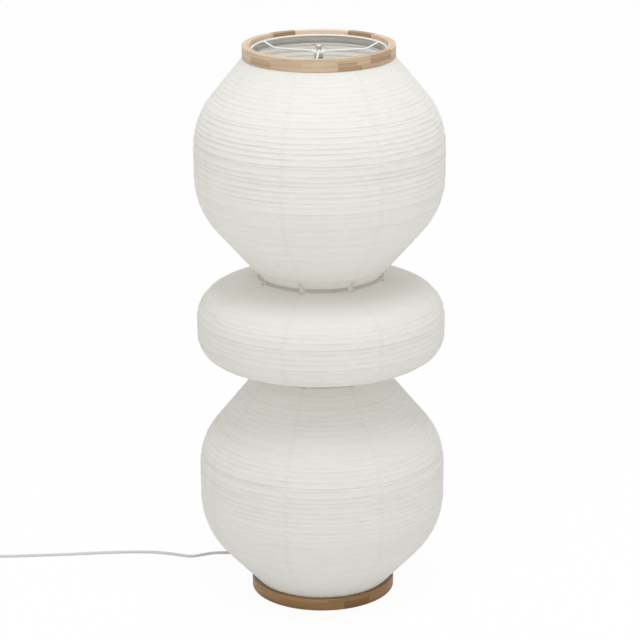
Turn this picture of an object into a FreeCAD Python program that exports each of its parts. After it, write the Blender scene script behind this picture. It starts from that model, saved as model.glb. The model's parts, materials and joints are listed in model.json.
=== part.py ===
import FreeCAD, Part
import math
import os
import re

import Sketcher
from FreeCAD import Placement, Rotation, Vector

# A paper lantern floor lamp: three paper sections on split-bamboo ribs, stacked between two wooden
# rings, hung from a wire spider on a steel stand with two lampholders. Millimetres, +Z up. The
# origin is on the floor under the lamp's axis, and the room side of the lamp faces -Y.

# ---------------------------------------------------------------- driving dimensions
SIZES = {
    # the lantern
    "overall_height": 915,
    "section_dia": 400,
    "upper_neck_z": 540.5,
    "lower_neck_z": 381,
    "neck_dia": 200,
    "neck_cuff": 2.5,
    "upper_bottom_slope": 49,
    "upper_bottom_bend": 128,
    "upper_top_slope": 51,
    "upper_top_bend": 127,
    "disc_bottom_slope": 17,
    "disc_bottom_bend": 39,
    "disc_top_slope": 17.5,
    "disc_top_bend": 50,
    "lower_bottom_slope": 47.3,
    "lower_bottom_bend": 128,
    "lower_top_slope": 51,
    "lower_top_bend": 105,
    "paper_wall": 0.8,
    "paper_play": 0.3,
    "seam_count": 8,
    "seam_turn": -17,
    # ribs and wires
    "rib_pitch": 8.2,
    "rib_wander": 0.16,
    "rib_width": 1.8,
    "rib_depth": 1.2,
    "rib_play": 0.1,
    "rim_wire": 3,
    "neck_wire": 2,
    "clip_width": 6,
    "clip_sheet": 0.8,
    "seat_play": 0.1,
    # wooden rings
    "top_ring_dia": 242,
    "top_ring_wall": 12,
    "top_ring_height": 20,
    "base_ring_dia": 235,
    "base_ring_wall": 11,
    "base_ring_height": 20,
    "ring_edge": 0.9,
    "shoulder_inset": 0.8,
    "base_flare": 4,
    "rim_sink": 7.5,
    "base_rim_z": 16.4,
    # spider and finial
    "spider_turn": -4,
    "arm_wire": 3,
    "arm_bend_dia": 168,
    "arm_bend_sink": 16,
    "arm_bend_radius": 9,
    "hub_sink": 10.5,
    "hub_dia": 22,
    "hub_plate": 3,
    "finial_dia": 11,
    "finial_stem": 7.2,
    "finial_head": 3.4,
    "finial_edge": 1,
    "finial_roof": 1.8,
    "finial_sink": 1.5,
    # stand
    "plate_gap": 2.35,
    "plate_thick": 5,
    "pad_thick": 2,
    "pad_inset": 2,
    "pad_width": 20,
    "pole_dia": 13,
    "pole_wall": 1.2,
    "fit_play": 0.05,
    "metal_edge": 1,
    "boss_dia": 30,
    "boss_height": 20,
    "boss_lip": 3,
    "coupling_z": 455,
    "coupling_dia": 18,
    "coupling_height": 30,
    "fitting_depth": 12,
    "stud_dia": 5,
    # lampholders and bulbs
    "upper_holder_z": 612,
    "lower_holder_z": 118,
    "holder_reach": 42,
    "bracket_sheet": 2.5,
    "bracket_width": 18,
    "collar_dia": 20,
    "collar_height": 12,
    "nipple_dia": 10,
    "nipple_bore": 6.4,
    "nipple_rise": 8,
    "nipple_nut_dia": 17,
    "nipple_nut": 5,
    "holder_dia": 38,
    "holder_height": 52,
    "holder_floor": 14,
    "holder_taper": 10,
    "holder_inset": 6,
    "cap_dia": 27,
    "cap_height": 42,
    "contact_dia": 11,
    "contact_height": 3,
    "bulb_dia": 60,
    "bulb_height": 78,
    "bulb_neck": 10,
    "bulb_middle": 40.5,
    "bulb_swell": 24,
    "bulb_crown": 29.5,
    "glass_step": 0.4,
    "glass_wall": 1,
    "lead_dia": 4,
    "lead_drop": 22,
    "lead_bend": 11,
    # mains cord
    "cord_dia": 5,
    "cord_angle": 135,
    "cable_bend": 5.2,
    "clamp_length": 10,
    "clamp_width": 24,
    "clamp_roof": 1.6,
    "clamp_setback": 5,
    "screw_dia": 3,
    "screw_head_dia": 5.2,
    "screw_head": 1.6,
    "screw_sink": 1,
    "gland_length": 29.6,
    "gland_dia": 8.4,
    "gland_tip_dia": 6.6,
    "notch_width": 11,
    # in-line switch
    "switch_x": -631,
    "switch_y": 112.6,
    "switch_length": 62,
    "switch_width": 26,
    "switch_height": 18,
    "switch_split": 10.5,
    "switch_wall": 2,
    "switch_corner": 9,
    "rocker_dia": 17,
    "rocker_width": 11,
    "rocker_tilt": 11,
    "rocker_pin_dia": 3,
    "rocker_play": 0.3,
    "rocker_crown": 0.8,
    # coil of the cord that is put away
    "coil_x": -700,
    "coil_y": 74.1,
    "coil_outer_r": 38.5,
    "coil_pitch": 5.6,
    "coil_turns": 3,
    "coil_lift": 1.2,
    "tie_width": 8,
    "tie_sheet": 0.8,
    "tie_play": 0.3,
    # plug
    "plug_length": 36,
    "plug_width": 26,
    "plug_thick": 14,
    "plug_nose": 9.4,
    "plug_taper": 16,
    "plug_x": -672,
    "pin_dia": 4,
    "pin_length": 19,
    "pin_gap": 18.6,
}

# ---------------------------------------------------------------- places worked out from them
PLACES = {
    "top_ring_z": "overall_height - top_ring_height",
    "top_ring_bore_r": "top_ring_dia / 2 - top_ring_wall",
    "base_ring_bore_r": "base_ring_dia / 2 - base_ring_wall",
    "top_rim_r": "top_ring_bore_r - paper_play - paper_wall - rim_wire / 2 - fit_play",
    "top_rim_z": "overall_height - rim_sink",
    "base_rim_r": "base_ring_bore_r - paper_play - paper_wall - rim_wire / 2 - fit_play",
    "neck_wire_r": "neck_dia / 2 - paper_wall - neck_wire / 2 - fit_play",
    "neck_wire_off": "neck_wire / 2 + seat_play",
    "hub_top_z": "overall_height - hub_sink",
    "hub_z": "hub_top_z - hub_plate",
    "finial_top_z": "overall_height - finial_sink",
    "plate_r": "base_rim_r - rim_wire / 2 - plate_gap",
    "plate_top_z": "pad_thick + plate_thick",
    "pole_r": "pole_dia / 2",
    "pole_bore_r": "pole_r - pole_wall",
    "pole_hole_r": "pole_r + fit_play",
    "fitting_z": "hub_z - seat_play - fitting_depth / 2",
    "cable_z": "plate_top_z + cord_dia / 2 + fit_play",
    "gland_r": "plate_r + seat_play * 4",
    "clamp_r": "plate_r - clamp_setback - clamp_length",
    "clamp_top_z": "cable_z + cord_dia / 2 + clamp_roof",
    "cable_top_z": "upper_holder_z - lead_drop + lead_dia",
    "coil_low_z": "coil_lift + cord_dia / 2",
    "coil_high_z": "coil_low_z + coil_pitch",
    "coil_inner_r": "coil_outer_r - (coil_turns + 0.25) * coil_pitch",
    "plug_y": "coil_y - coil_outer_r",
}

doc = FreeCAD.newDocument("PaperLanternFloorLamp")


def qualified(rule):
    """Put the sheet's name before each alias in a formula."""
    def swap(found):
        word = found.group(0)
        if word in SIZES:
            return "Sizes." + word
        return "Places." + word if word in PLACES else word

    return re.sub(r"[A-Za-z_]+", swap, rule)


def make_sheet(name, cells):
    sheet = doc.addObject("Spreadsheet::Sheet", name)
    for row, (alias, content) in enumerate(cells.items(), start=1):
        sheet.set(f"A{row}", alias.replace("_", " "))
        sheet.set(f"B{row}", content if isinstance(content, str) else str(content))
        sheet.setAlias(f"B{row}", alias)
    doc.recompute()
    return sheet


sizes = make_sheet("Sizes", SIZES)
places = make_sheet("Places", {alias: "=" + qualified(rule) for alias, rule in PLACES.items()})


def size(alias):
    """A size or a place, read from its sheet."""
    return float(sizes.get(alias) if alias in SIZES else places.get(alias))


# ---------------------------------------------------------------- helpers for parametric objects
PARTS = []


def keep(piece, label):
    """Give a finished sub-part its name and put it on the list of what is written out."""
    piece.Label = label
    PARTS.append(piece)
    return piece


def bind(piece, **rules):
    for path, rule in rules.items():
        piece.setExpression(path.replace("__", "."), qualified(rule))
    return piece


def move(piece, x="0", y="0", z="0"):
    return bind(piece, Placement__Base__x=x, Placement__Base__y=y, Placement__Base__z=z)


def turn(piece, axis, angle):
    piece.Placement = Placement(Vector(), Rotation(axis, angle))
    return piece


def cylinder(name, radius, height, x="0", y="0", z="0", axis=None, angle=0.0):
    piece = bind(doc.addObject("Part::Cylinder", name), Radius=radius, Height=height)
    if axis:
        turn(piece, axis, angle)
    return move(piece, x, y, z)


def box(name, length, width, height, x="0", y="0", z="0"):
    piece = doc.addObject("Part::Box", name)
    bind(piece, Length=length, Width=width, Height=height)
    return move(piece, x, y, z)


def torus(name, radius, wire, z):
    piece = doc.addObject("Part::Torus", name)
    bind(piece, Radius1=radius, Radius2=wire + " / 2")
    return move(piece, z=z)


def cut(name, base, *tools):
    """Take one or more tools away from a base."""
    tool = tools[0] if len(tools) == 1 else fuse(name + "_tools", *tools)
    piece = doc.addObject("Part::Cut", name)
    piece.Base, piece.Tool = base, tool
    return piece


def fuse(name, *pieces):
    piece = doc.addObject("Part::MultiFuse", name)
    piece.Shapes = list(pieces)
    return piece


def group(name, pieces):
    """Several equal solids that share a node."""
    piece = doc.addObject("Part::Compound", name)
    piece.Links = list(pieces)
    return piece


def origin_plane(body, role):
    return next(f for f in body.Origin.OriginFeatures if f.Role == role)


def outline_sketch(body, name, corners, role="XZ_Plane"):
    """A closed outline whose every corner is held by two formulas, from the plane's origin."""
    sketch = body.newObject("Sketcher::SketchObject", name)
    sketch.AttachmentSupport = [(origin_plane(body, role), "")]
    sketch.MapMode = "FlatFace"
    # any open spread of points will do as a start, because the formulas then place them
    seed = [Vector(3.0 + i, 2.0 + 0.7 * i * i, 0) for i in range(len(corners))]
    for i in range(len(corners)):
        sketch.addGeometry(Part.LineSegment(seed[i], seed[(i + 1) % len(seed)]))
    for i in range(len(corners)):
        sketch.addConstraint(Sketcher.Constraint("Coincident", i, 2, (i + 1) % len(corners), 1))
    for i, (across, up) in enumerate(corners):
        if across == "0":
            sketch.addConstraint(Sketcher.Constraint("PointOnObject", i, 1, -2))
        else:
            at = sketch.addConstraint(Sketcher.Constraint("DistanceX", -1, 1, i, 1, seed[i].x))
            sketch.setExpression(f"Constraints[{at}]", qualified(across))
        if up == "0":
            sketch.addConstraint(Sketcher.Constraint("PointOnObject", i, 1, -1))
        else:
            at = sketch.addConstraint(Sketcher.Constraint("DistanceY", -1, 1, i, 1, seed[i].y))
            sketch.setExpression(f"Constraints[{at}]", qualified(up))
    doc.recompute()
    return sketch


def turned(name, corners):
    """A body turned about its own Z axis from an outline of (radius, height) corners."""
    body = doc.addObject("PartDesign::Body", name)
    sketch = outline_sketch(body, name + "_outline", corners)
    solid = body.newObject("PartDesign::Revolution", name + "_turning")
    solid.Profile = sketch
    solid.ReferenceAxis = (sketch, ["V_Axis"])
    solid.Angle = 360
    doc.recompute()
    return body


def padded(name, corners, height, base="0"):
    """A body raised from an outline of (x, y) corners, standing on a height above XY."""
    body = doc.addObject("PartDesign::Body", name)
    sketch = outline_sketch(body, name + "_outline", corners, "XY_Plane")
    solid = body.newObject("PartDesign::Pad", name + "_pad")
    solid.Profile = sketch
    bind(solid, Length=height)
    bind(sketch, AttachmentOffset__Base__z=base)
    doc.recompute()
    return body


def formed(label, shape):
    """A piece whose shape is worked out by a formula, such as a sweep."""
    piece = doc.addObject("Part::Feature", label)
    piece.Shape = shape
    piece.Placement = Placement()
    return keep(piece, label)


# ---------------------------------------------------------------- helpers for worked-out shapes
def unit(v):
    return Vector(v).normalize()


def bent_wire(points):
    """Straight runs joined by tangent arcs. Each point is (x, y, z, radius), 0 for a sharp corner."""
    edges, last = [], Vector(*points[0][:3])
    for before, here, after in zip(points, points[1:], points[2:]):
        corner, radius = Vector(*here[:3]), here[3]
        back, on = unit(Vector(*before[:3]) - corner), unit(Vector(*after[:3]) - corner)
        if radius <= 0:
            edges.append(Part.LineSegment(last, corner).toShape())
            last = corner
            continue
        half = back.getAngle(on) / 2
        start, end = (corner + side * (radius / math.tan(half)) for side in (back, on))
        inward = unit(back + on)
        middle = corner + inward * (radius / math.sin(half) - radius)
        if (start - last).Length > 1e-4:
            edges.append(Part.LineSegment(last, start).toShape())
        edges.append(Part.Arc(start, middle, end).toShape())
        last = end
    edges.append(Part.LineSegment(last, Vector(*points[-1][:3])).toShape())
    return Part.Wire(edges)


def tube(wire, diameter):
    """A round tube along a wire, as one solid."""
    first = wire.OrderedEdges[0]
    at = first.valueAt(first.FirstParameter)
    along = first.tangentAt(first.FirstParameter)
    ring = Part.Wire([Part.Circle(at, along, diameter / 2).toShape()])
    sweep = Part.BRepOffsetAPI.MakePipeShell(wire)
    sweep.add(ring)
    sweep.build()
    sweep.makeSolid()
    return sweep.shape()


def check_tube(name, shape, wire, diameter):
    wanted = wire.Length * math.pi * diameter ** 2 / 4
    print(f"{name}: length {wire.Length:.1f} mm, volume over section x length {shape.Volume / wanted:.4f}")


def inset(points, depth):
    """The outline moved inward by a depth. Points are (radius, height, bend), going upwards."""
    def along(a, b):
        d = Vector(b[0] - a[0], 0, b[1] - a[1]).normalize()
        return d, Vector(d.z, 0, -d.x) * -depth

    steps = [along(a, b) for a, b in zip(points, points[1:])]
    moved = [Vector(points[0][0], 0, points[0][1]) + steps[0][1]]
    bends = [0.0]
    for (d0, n0), (d1, n1), corner in zip(steps, steps[1:], points[1:-1]):
        turning = d0.z * d1.x - d0.x * d1.z
        here = Vector(corner[0], 0, corner[1])
        moved.append(here + (n0 + n1) / (1 + n0.dot(n1) / depth ** 2))
        bends.append(corner[2] + math.copysign(depth, turning) if corner[2] else 0.0)
    moved.append(Vector(points[-1][0], 0, points[-1][1]) + steps[-1][1])
    return [(p.x, p.z, bend) for p, bend in zip(moved, bends + [0.0])]


def profile_wire(points):
    return bent_wire([(r, 0.0, z, bend) for r, z, bend in points])


def turned_shell(outline, wall):
    """A thin shell of revolution about Z, its outer face on the outline."""
    outer, inner = profile_wire(outline), profile_wire(inset(outline, wall))
    ends = []
    for k in (0, -1):
        a = outer.OrderedVertexes[k].Point
        b = inner.OrderedVertexes[k].Point
        ends.append(Part.LineSegment(a, b).toShape())
    loop = Part.Wire(Part.__sortEdges__(outer.Edges + inner.Edges + ends))
    return Part.Face(loop).revolve(Vector(), Vector(0, 0, 1), 360)


RIB_BEATS = (2.7, 4.3)


def ribs_inside(outline, wall):
    """Flat bamboo hoops on the inner face of a section, as evenly spaced as a hand winds them."""
    line = profile_wire(inset(outline, wall + size("rib_play")))
    count = int(line.Length / size("rib_pitch")) - 1
    pitch = line.Length / (count + 1)
    width, depth = size("rib_width"), size("rib_depth")
    # a flat hoop stands off the curved paper by its sagitta as well as its play
    sagitta = width ** 2 / 8 / (min(bend for *_, bend in outline if bend) - wall)
    starts, run = [], 0.0
    for edge in line.OrderedEdges:
        starts.append((run, edge))
        run += edge.Length
    hoops = []
    for i in range(1, count + 1):
        wander = size("rib_wander") * sum(math.sin(beat * (i + 1)) for beat in RIB_BEATS)
        reach = pitch * (i + wander)
        start, edge = [pair for pair in starts if pair[0] <= reach][-1]
        at = edge.getParameterByLength(reach - start)
        here, up = edge.valueAt(at), edge.tangentAt(at)
        inward = Vector(-up.z, 0, up.x)
        section = [
            here + up * (side * width / 2) + inward * (sagitta + reach_in)
            for side, reach_in in ((-1, 0.0), (1, 0.0), (1, depth), (-1, depth))
        ]
        face = Part.Face(Part.makePolygon(section + section[:1]))
        hoops.append(face.revolve(Vector(), Vector(0, 0, 1), 360))
    return Part.makeCompound(hoops), count


# ---------------------------------------------------------------- wooden rings
def ring_outline(dia, bore_r, height):
    outer = dia + " / 2"
    return [
        (bore_r, "ring_edge"),
        (bore_r + " + ring_edge", "0"),
        (outer + " - ring_edge", "0"),
        (outer, "ring_edge"),
        (outer, height + " - ring_edge"),
        (outer + " - ring_edge", height),
        (bore_r + " + ring_edge", height),
        (bore_r, height + " - ring_edge"),
    ]


top_ring = turned("TopRing", ring_outline("top_ring_dia", "top_ring_bore_r", "top_ring_height"))
move(top_ring, z="top_ring_z")
keep(top_ring, "top_wood_ring")

# the cord leaves under the base ring through a round-topped notch, so the lantern can lift off it
base_ring = turned("BaseRing", ring_outline("base_ring_dia", "base_ring_bore_r", "base_ring_height"))
RADIAL = Rotation(Vector(0, 0, 1), size("cord_angle"))


def along_cord(piece, reach, side, z):
    """Turn a piece to the cord's radial direction and put it at a reach from the axis."""
    piece.Placement = Placement(Vector(), RADIAL.multiply(piece.Placement.Rotation))
    spin = "cord_angle * 1 deg"
    bind(
        piece,
        Placement__Base__x=f"({reach}) * cos({spin}) - ({side}) * sin({spin})",
        Placement__Base__y=f"({reach}) * sin({spin}) + ({side}) * cos({spin})",
        Placement__Base__z=z,
    )
    return piece


def radial_rod(name, radius, length, reach, z):
    """A cylinder lying along the cord's radial direction."""
    rod = bind(doc.addObject("Part::Cylinder", name), Radius=radius, Height=length)
    turn(rod, Vector(0, 1, 0), 90)
    return along_cord(rod, reach, "0", z)


NOTCH_REACH = "base_ring_bore_r - base_ring_wall"
NOTCH_RUN = "base_ring_wall * 3"
notch_slot = doc.addObject("Part::Box", "NotchSlot")
bind(notch_slot, Length=NOTCH_RUN, Width="notch_width", Height="cable_z + base_ring_wall")
along_cord(notch_slot, NOTCH_REACH, "-notch_width / 2", "-base_ring_wall")
notch_arch = radial_rod("NotchArch", "notch_width / 2", NOTCH_RUN, NOTCH_REACH, "cable_z")
keep(cut("BaseRingNotched", base_ring, notch_slot, notch_arch), "base_wood_ring")


# ---------------------------------------------------------------- paper sections
def cone_corner(neck_r, z, dia, slope, up):
    """Where a cone from a neck meets the section's widest cylinder."""
    reach = dia / 2 - neck_r
    return dia / 2, z + up * reach * math.tan(math.radians(slope))


def section_outline(dia, low, low_slope, low_bend, high, high_slope, high_bend):
    return [
        (*low, 0.0),
        (*cone_corner(*low, dia, low_slope, 1), low_bend),
        (*cone_corner(*high, dia, high_slope, -1), high_bend),
        (*high, 0.0),
    ]


def neck_point(z_alias, up):
    return size("neck_dia") / 2, size(z_alias) + up * size("neck_cuff")


def cuff_end(z_alias, up):
    return size("neck_dia") / 2, size(z_alias) + up * size("seat_play") * 2, 0.0


PAPER = size("paper_wall")
ring_gap = size("paper_play")
shoulder = (size("top_ring_dia") / 2 - size("shoulder_inset"), size("top_ring_z") - ring_gap)
top_neck_r = size("top_ring_bore_r") - ring_gap
base_neck_r = size("base_ring_bore_r") - ring_gap
base_lip_z = size("base_ring_height") + ring_gap
base_flare = (base_neck_r + size("base_flare"), base_lip_z)

upper_skin = section_outline(
    size("section_dia"),
    neck_point("upper_neck_z", 1), size("upper_bottom_slope"), size("upper_bottom_bend"),
    shoulder, size("upper_top_slope"), size("upper_top_bend"),
)
disc_skin = section_outline(
    size("section_dia"),
    neck_point("lower_neck_z", 1), size("disc_bottom_slope"), size("disc_bottom_bend"),
    neck_point("upper_neck_z", -1), size("disc_top_slope"), size("disc_top_bend"),
)
lower_skin = section_outline(
    size("section_dia"),
    base_flare, size("lower_bottom_slope"), size("lower_bottom_bend"),
    neck_point("lower_neck_z", -1), size("lower_top_slope"), size("lower_top_bend"),
)

# each section's paper turns in at its ends: a cuff round a neck wire, or a collar inside a ring
top_collar = [
    (top_neck_r, shoulder[1], 0.0),
    (top_neck_r, size("top_rim_z") + size("rim_wire") / 2, 0.0),
]
base_collar = [
    (base_neck_r, size("base_rim_z") - size("rim_wire") / 2, 0.0),
    (base_neck_r, base_lip_z, 0.0),
]
SECTIONS = [
    ("upper_globe", upper_skin, [cuff_end("upper_neck_z", 1)], top_collar),
    ("disc", disc_skin, [cuff_end("lower_neck_z", 1)], [cuff_end("upper_neck_z", -1)]),
    ("lower_globe", lower_skin, base_collar, [cuff_end("lower_neck_z", -1)]),
]
for section_name, skin, below, above in SECTIONS:
    formed(section_name + "_paper", turned_shell(below + skin + above, PAPER))
    hoops, hoop_count = ribs_inside(skin, PAPER)
    formed(section_name + "_ribs", hoops)
    print(section_name, "has", hoop_count, "ribs")

# ---------------------------------------------------------------- rim and neck wires, neck clips
keep(torus("TopRim", "top_rim_r", "rim_wire", "top_rim_z"), "top_rim_wire")
keep(torus("BaseRim", "base_rim_r", "rim_wire", "base_rim_z"), "base_rim_wire")


def neck_clip(name, angle, neck_z):
    """A folded clip that hooks the two wires of a neck together from inside."""
    hook = "neck_wire_off * 2 + neck_wire + seat_play * 2"
    shell = box(name + "_sheet", "neck_wire + clip_sheet", "clip_width", hook + " + clip_sheet * 2")
    hollow = box(name + "_hook", "neck_wire * 2", "clip_width * 3", hook,
                 x="clip_sheet", y="-clip_width", z="clip_sheet")
    clip = cut(name, shell, hollow)
    half_wire, sheet = size("neck_wire") / 2, size("clip_sheet")
    spot = Vector(
        size("neck_wire_r") - half_wire - sheet - size("fit_play"),
        -size("clip_width") / 2,
        neck_z - size("neck_wire_off") - half_wire - sheet - size("seat_play"),
    )
    spin = Rotation(Vector(0, 0, 1), angle)
    clip.Placement = Placement(spin.multVec(spot), spin)
    return clip


for neck in ("upper", "lower"):
    wires = [
        torus(f"{neck}_neck_wire_{k}", "neck_wire_r", "neck_wire", f"{neck}_neck_z + {side} * neck_wire_off")
        for k, side in enumerate((-1, 1))
    ]
    keep(group(f"{neck}_wires", wires), f"{neck}_neck_wires")
    clips = []
    for k in range(int(size("seam_count"))):
        angle = size("seam_turn") - 90 + k * 360 / size("seam_count")
        clips.append(neck_clip(f"{neck}_clip_{k}", angle, size(f"{neck}_neck_z")))
    keep(group(f"{neck}_clips", clips), f"{neck}_neck_clips")

# ---------------------------------------------------------------- spider: hub, three cranked arms
hub_plate = cylinder("HubPlate", "hub_dia / 2", "hub_plate", z="hub_z")
hub_bore = cylinder("HubBore", "stud_dia / 2 + seat_play * 2", "hub_plate * 3", z="hub_z - hub_plate")
keep(cut("Hub", hub_plate, hub_bore), "spider_hub")

arms = []
for k in range(3):
    spin = math.radians(size("spider_turn") - 90 + 120 * k)
    rim_reach = size("top_rim_r") - size("rim_wire") / 2 - size("seat_play")
    stations = [
        (rim_reach, size("top_rim_z"), 0.0),
        (size("arm_bend_dia") / 2, size("overall_height") - size("arm_bend_sink"), size("arm_bend_radius")),
        (size("hub_dia") / 2 + size("seat_play"), size("hub_z") + size("hub_plate") / 2, 0.0),
    ]
    route = [(r * math.cos(spin), r * math.sin(spin), z, bend) for r, z, bend in stations]
    arms.append(tube(bent_wire(route), size("arm_wire")))
formed("spider_arms", Part.makeCompound(arms))

# ---------------------------------------------------------------- finial that clamps the hub
FINIAL_FOOT = "hub_top_z + seat_play"
finial = turned("Finial", [
    ("stud_dia / 2 + fit_play", FINIAL_FOOT),
    ("finial_dia / 2 - finial_edge", FINIAL_FOOT),
    ("finial_dia / 2 - finial_edge", FINIAL_FOOT + " + finial_edge"),
    ("finial_stem / 2", FINIAL_FOOT + " + finial_edge * 2"),
    ("finial_stem / 2", "finial_top_z - finial_head - finial_edge"),
    ("finial_dia / 2", "finial_top_z - finial_head"),
    ("finial_dia / 2", "finial_top_z - finial_edge"),
    ("finial_dia / 2 - finial_edge", "finial_top_z"),
    ("0", "finial_top_z"),
    ("0", "finial_top_z - finial_roof"),
    ("stud_dia / 2 + fit_play", "finial_top_z - finial_roof"),
])
keep(finial, "finial_knob")

# ---------------------------------------------------------------- stand: plate, pad, pole
foot_disc = turned("FootDisc", [
    ("0", "pad_thick"),
    ("plate_r - metal_edge", "pad_thick"),
    ("plate_r", "pad_thick + metal_edge"),
    ("plate_r", "plate_top_z - metal_edge"),
    ("plate_r - metal_edge", "plate_top_z"),
    ("0", "plate_top_z"),
])
SCREW_SIDE = "(clamp_width + cord_dia) / 4 + seat_play * 2"
screw_holes = [
    along_cord(
        cylinder(f"PlateHole{k}", "screw_dia / 2 + fit_play", "plate_thick * 3"),
        "clamp_r + clamp_length / 2", f"{side} * ({SCREW_SIDE})", "pad_thick - plate_thick",
    )
    for k, side in enumerate((-1, 1))
]
keep(cut("FootPlate", foot_disc, *screw_holes), "foot_plate")

pad_disc = cylinder("PadDisc", "plate_r - pad_inset", "pad_thick")
pad_hole = cylinder("PadHole", "plate_r - pad_inset - pad_width", "pad_thick * 3", z="-pad_thick")
keep(cut("Pad", pad_disc, pad_hole), "foot_pad")


def cable_way(name):
    """The round way that lets the cable into the foot of the pole."""
    return radial_rod(name, "cord_dia / 2 + fit_play * 4", "boss_dia", "0", "cable_z")


boss = turned("Boss", [
    ("pole_hole_r", "plate_top_z"),
    ("boss_dia / 2", "plate_top_z"),
    ("boss_dia / 2", "plate_top_z + boss_height / 2"),
    ("pole_r + boss_lip", "plate_top_z + boss_height"),
    ("pole_hole_r", "plate_top_z + boss_height"),
])
keep(cut("BossWithWay", boss, cable_way("BossWay")), "pole_boss")


def pole_length(name, low, high, *tools):
    rod = cylinder(name + "_rod", "pole_r", f"({high}) - ({low})", z=low)
    bore = cylinder(name + "_bore", "pole_bore_r", f"({high}) - ({low}) + pole_wall * 2",
                    z=f"({low}) - pole_wall")
    return cut(name, rod, bore, *tools)


def lead_way(name, holder_z, side):
    """The small hole in the pole's wall that a lampholder's lead comes out of."""
    return cylinder(name, "lead_dia / 2 + fit_play * 4", "pole_dia", z=holder_z + " - lead_drop",
                    axis=Vector(0, 1, 0), angle=90 * side)


lower_pole = pole_length("LowerPole", "plate_top_z", "coupling_z - seat_play / 2",
                         cable_way("PoleWay"), lead_way("LowerWay", "lower_holder_z", -1))
keep(lower_pole, "pole_lower")
upper_pole = pole_length("UpperPole", "coupling_z + seat_play / 2", "fitting_z",
                         lead_way("UpperWay", "upper_holder_z", 1))
keep(upper_pole, "pole_upper")
SLEEVE_LOW = "coupling_z - coupling_height / 2"
SLEEVE_HIGH = "coupling_z + coupling_height / 2"
sleeve = turned("Sleeve", [
    ("pole_hole_r", SLEEVE_LOW),
    ("coupling_dia / 2 - metal_edge", SLEEVE_LOW),
    ("coupling_dia / 2", SLEEVE_LOW + " + metal_edge"),
    ("coupling_dia / 2", SLEEVE_HIGH + " - metal_edge"),
    ("coupling_dia / 2 - metal_edge", SLEEVE_HIGH),
    ("pole_hole_r", SLEEVE_HIGH),
])
keep(sleeve, "pole_coupling")

# the pole's top fitting: a shoulder that carries the hub, a spigot in the bore, a stud through both
STUD_HOLE = "stud_dia / 2 + fit_play"
fitting = turned("Fitting", [
    (STUD_HOLE, "fitting_z - fitting_depth"),
    ("pole_bore_r - fit_play", "fitting_z - fitting_depth"),
    ("pole_bore_r - fit_play", "fitting_z"),
    ("pole_r + metal_edge", "fitting_z"),
    ("pole_r + metal_edge", "hub_z - seat_play - metal_edge"),
    ("pole_r", "hub_z - seat_play"),
    (STUD_HOLE, "hub_z - seat_play"),
])
keep(fitting, "pole_top_fitting")
STUD_TOP = "finial_top_z - finial_roof - seat_play * 2"
stud = cylinder("Stud", "stud_dia / 2", STUD_TOP + " - fitting_z + fitting_depth",
                z="fitting_z - fitting_depth")
keep(stud, "top_stud")


# ---------------------------------------------------------------- lampholders and bulbs
def bulb_outline(z):
    """A bulb's glass from its neck up to the crown."""
    neck, full = size("cap_dia") / 2 - size("glass_step"), size("bulb_dia") / 2
    top = z + size("bulb_height")
    return [
        (neck, z, 0.0),
        (neck, z + size("bulb_neck"), size("bulb_swell")),
        (full, z + size("bulb_middle"), size("bulb_swell")),
        (full, top, size("bulb_crown")),
        (0.0, top, 0.0),
    ]


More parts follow.
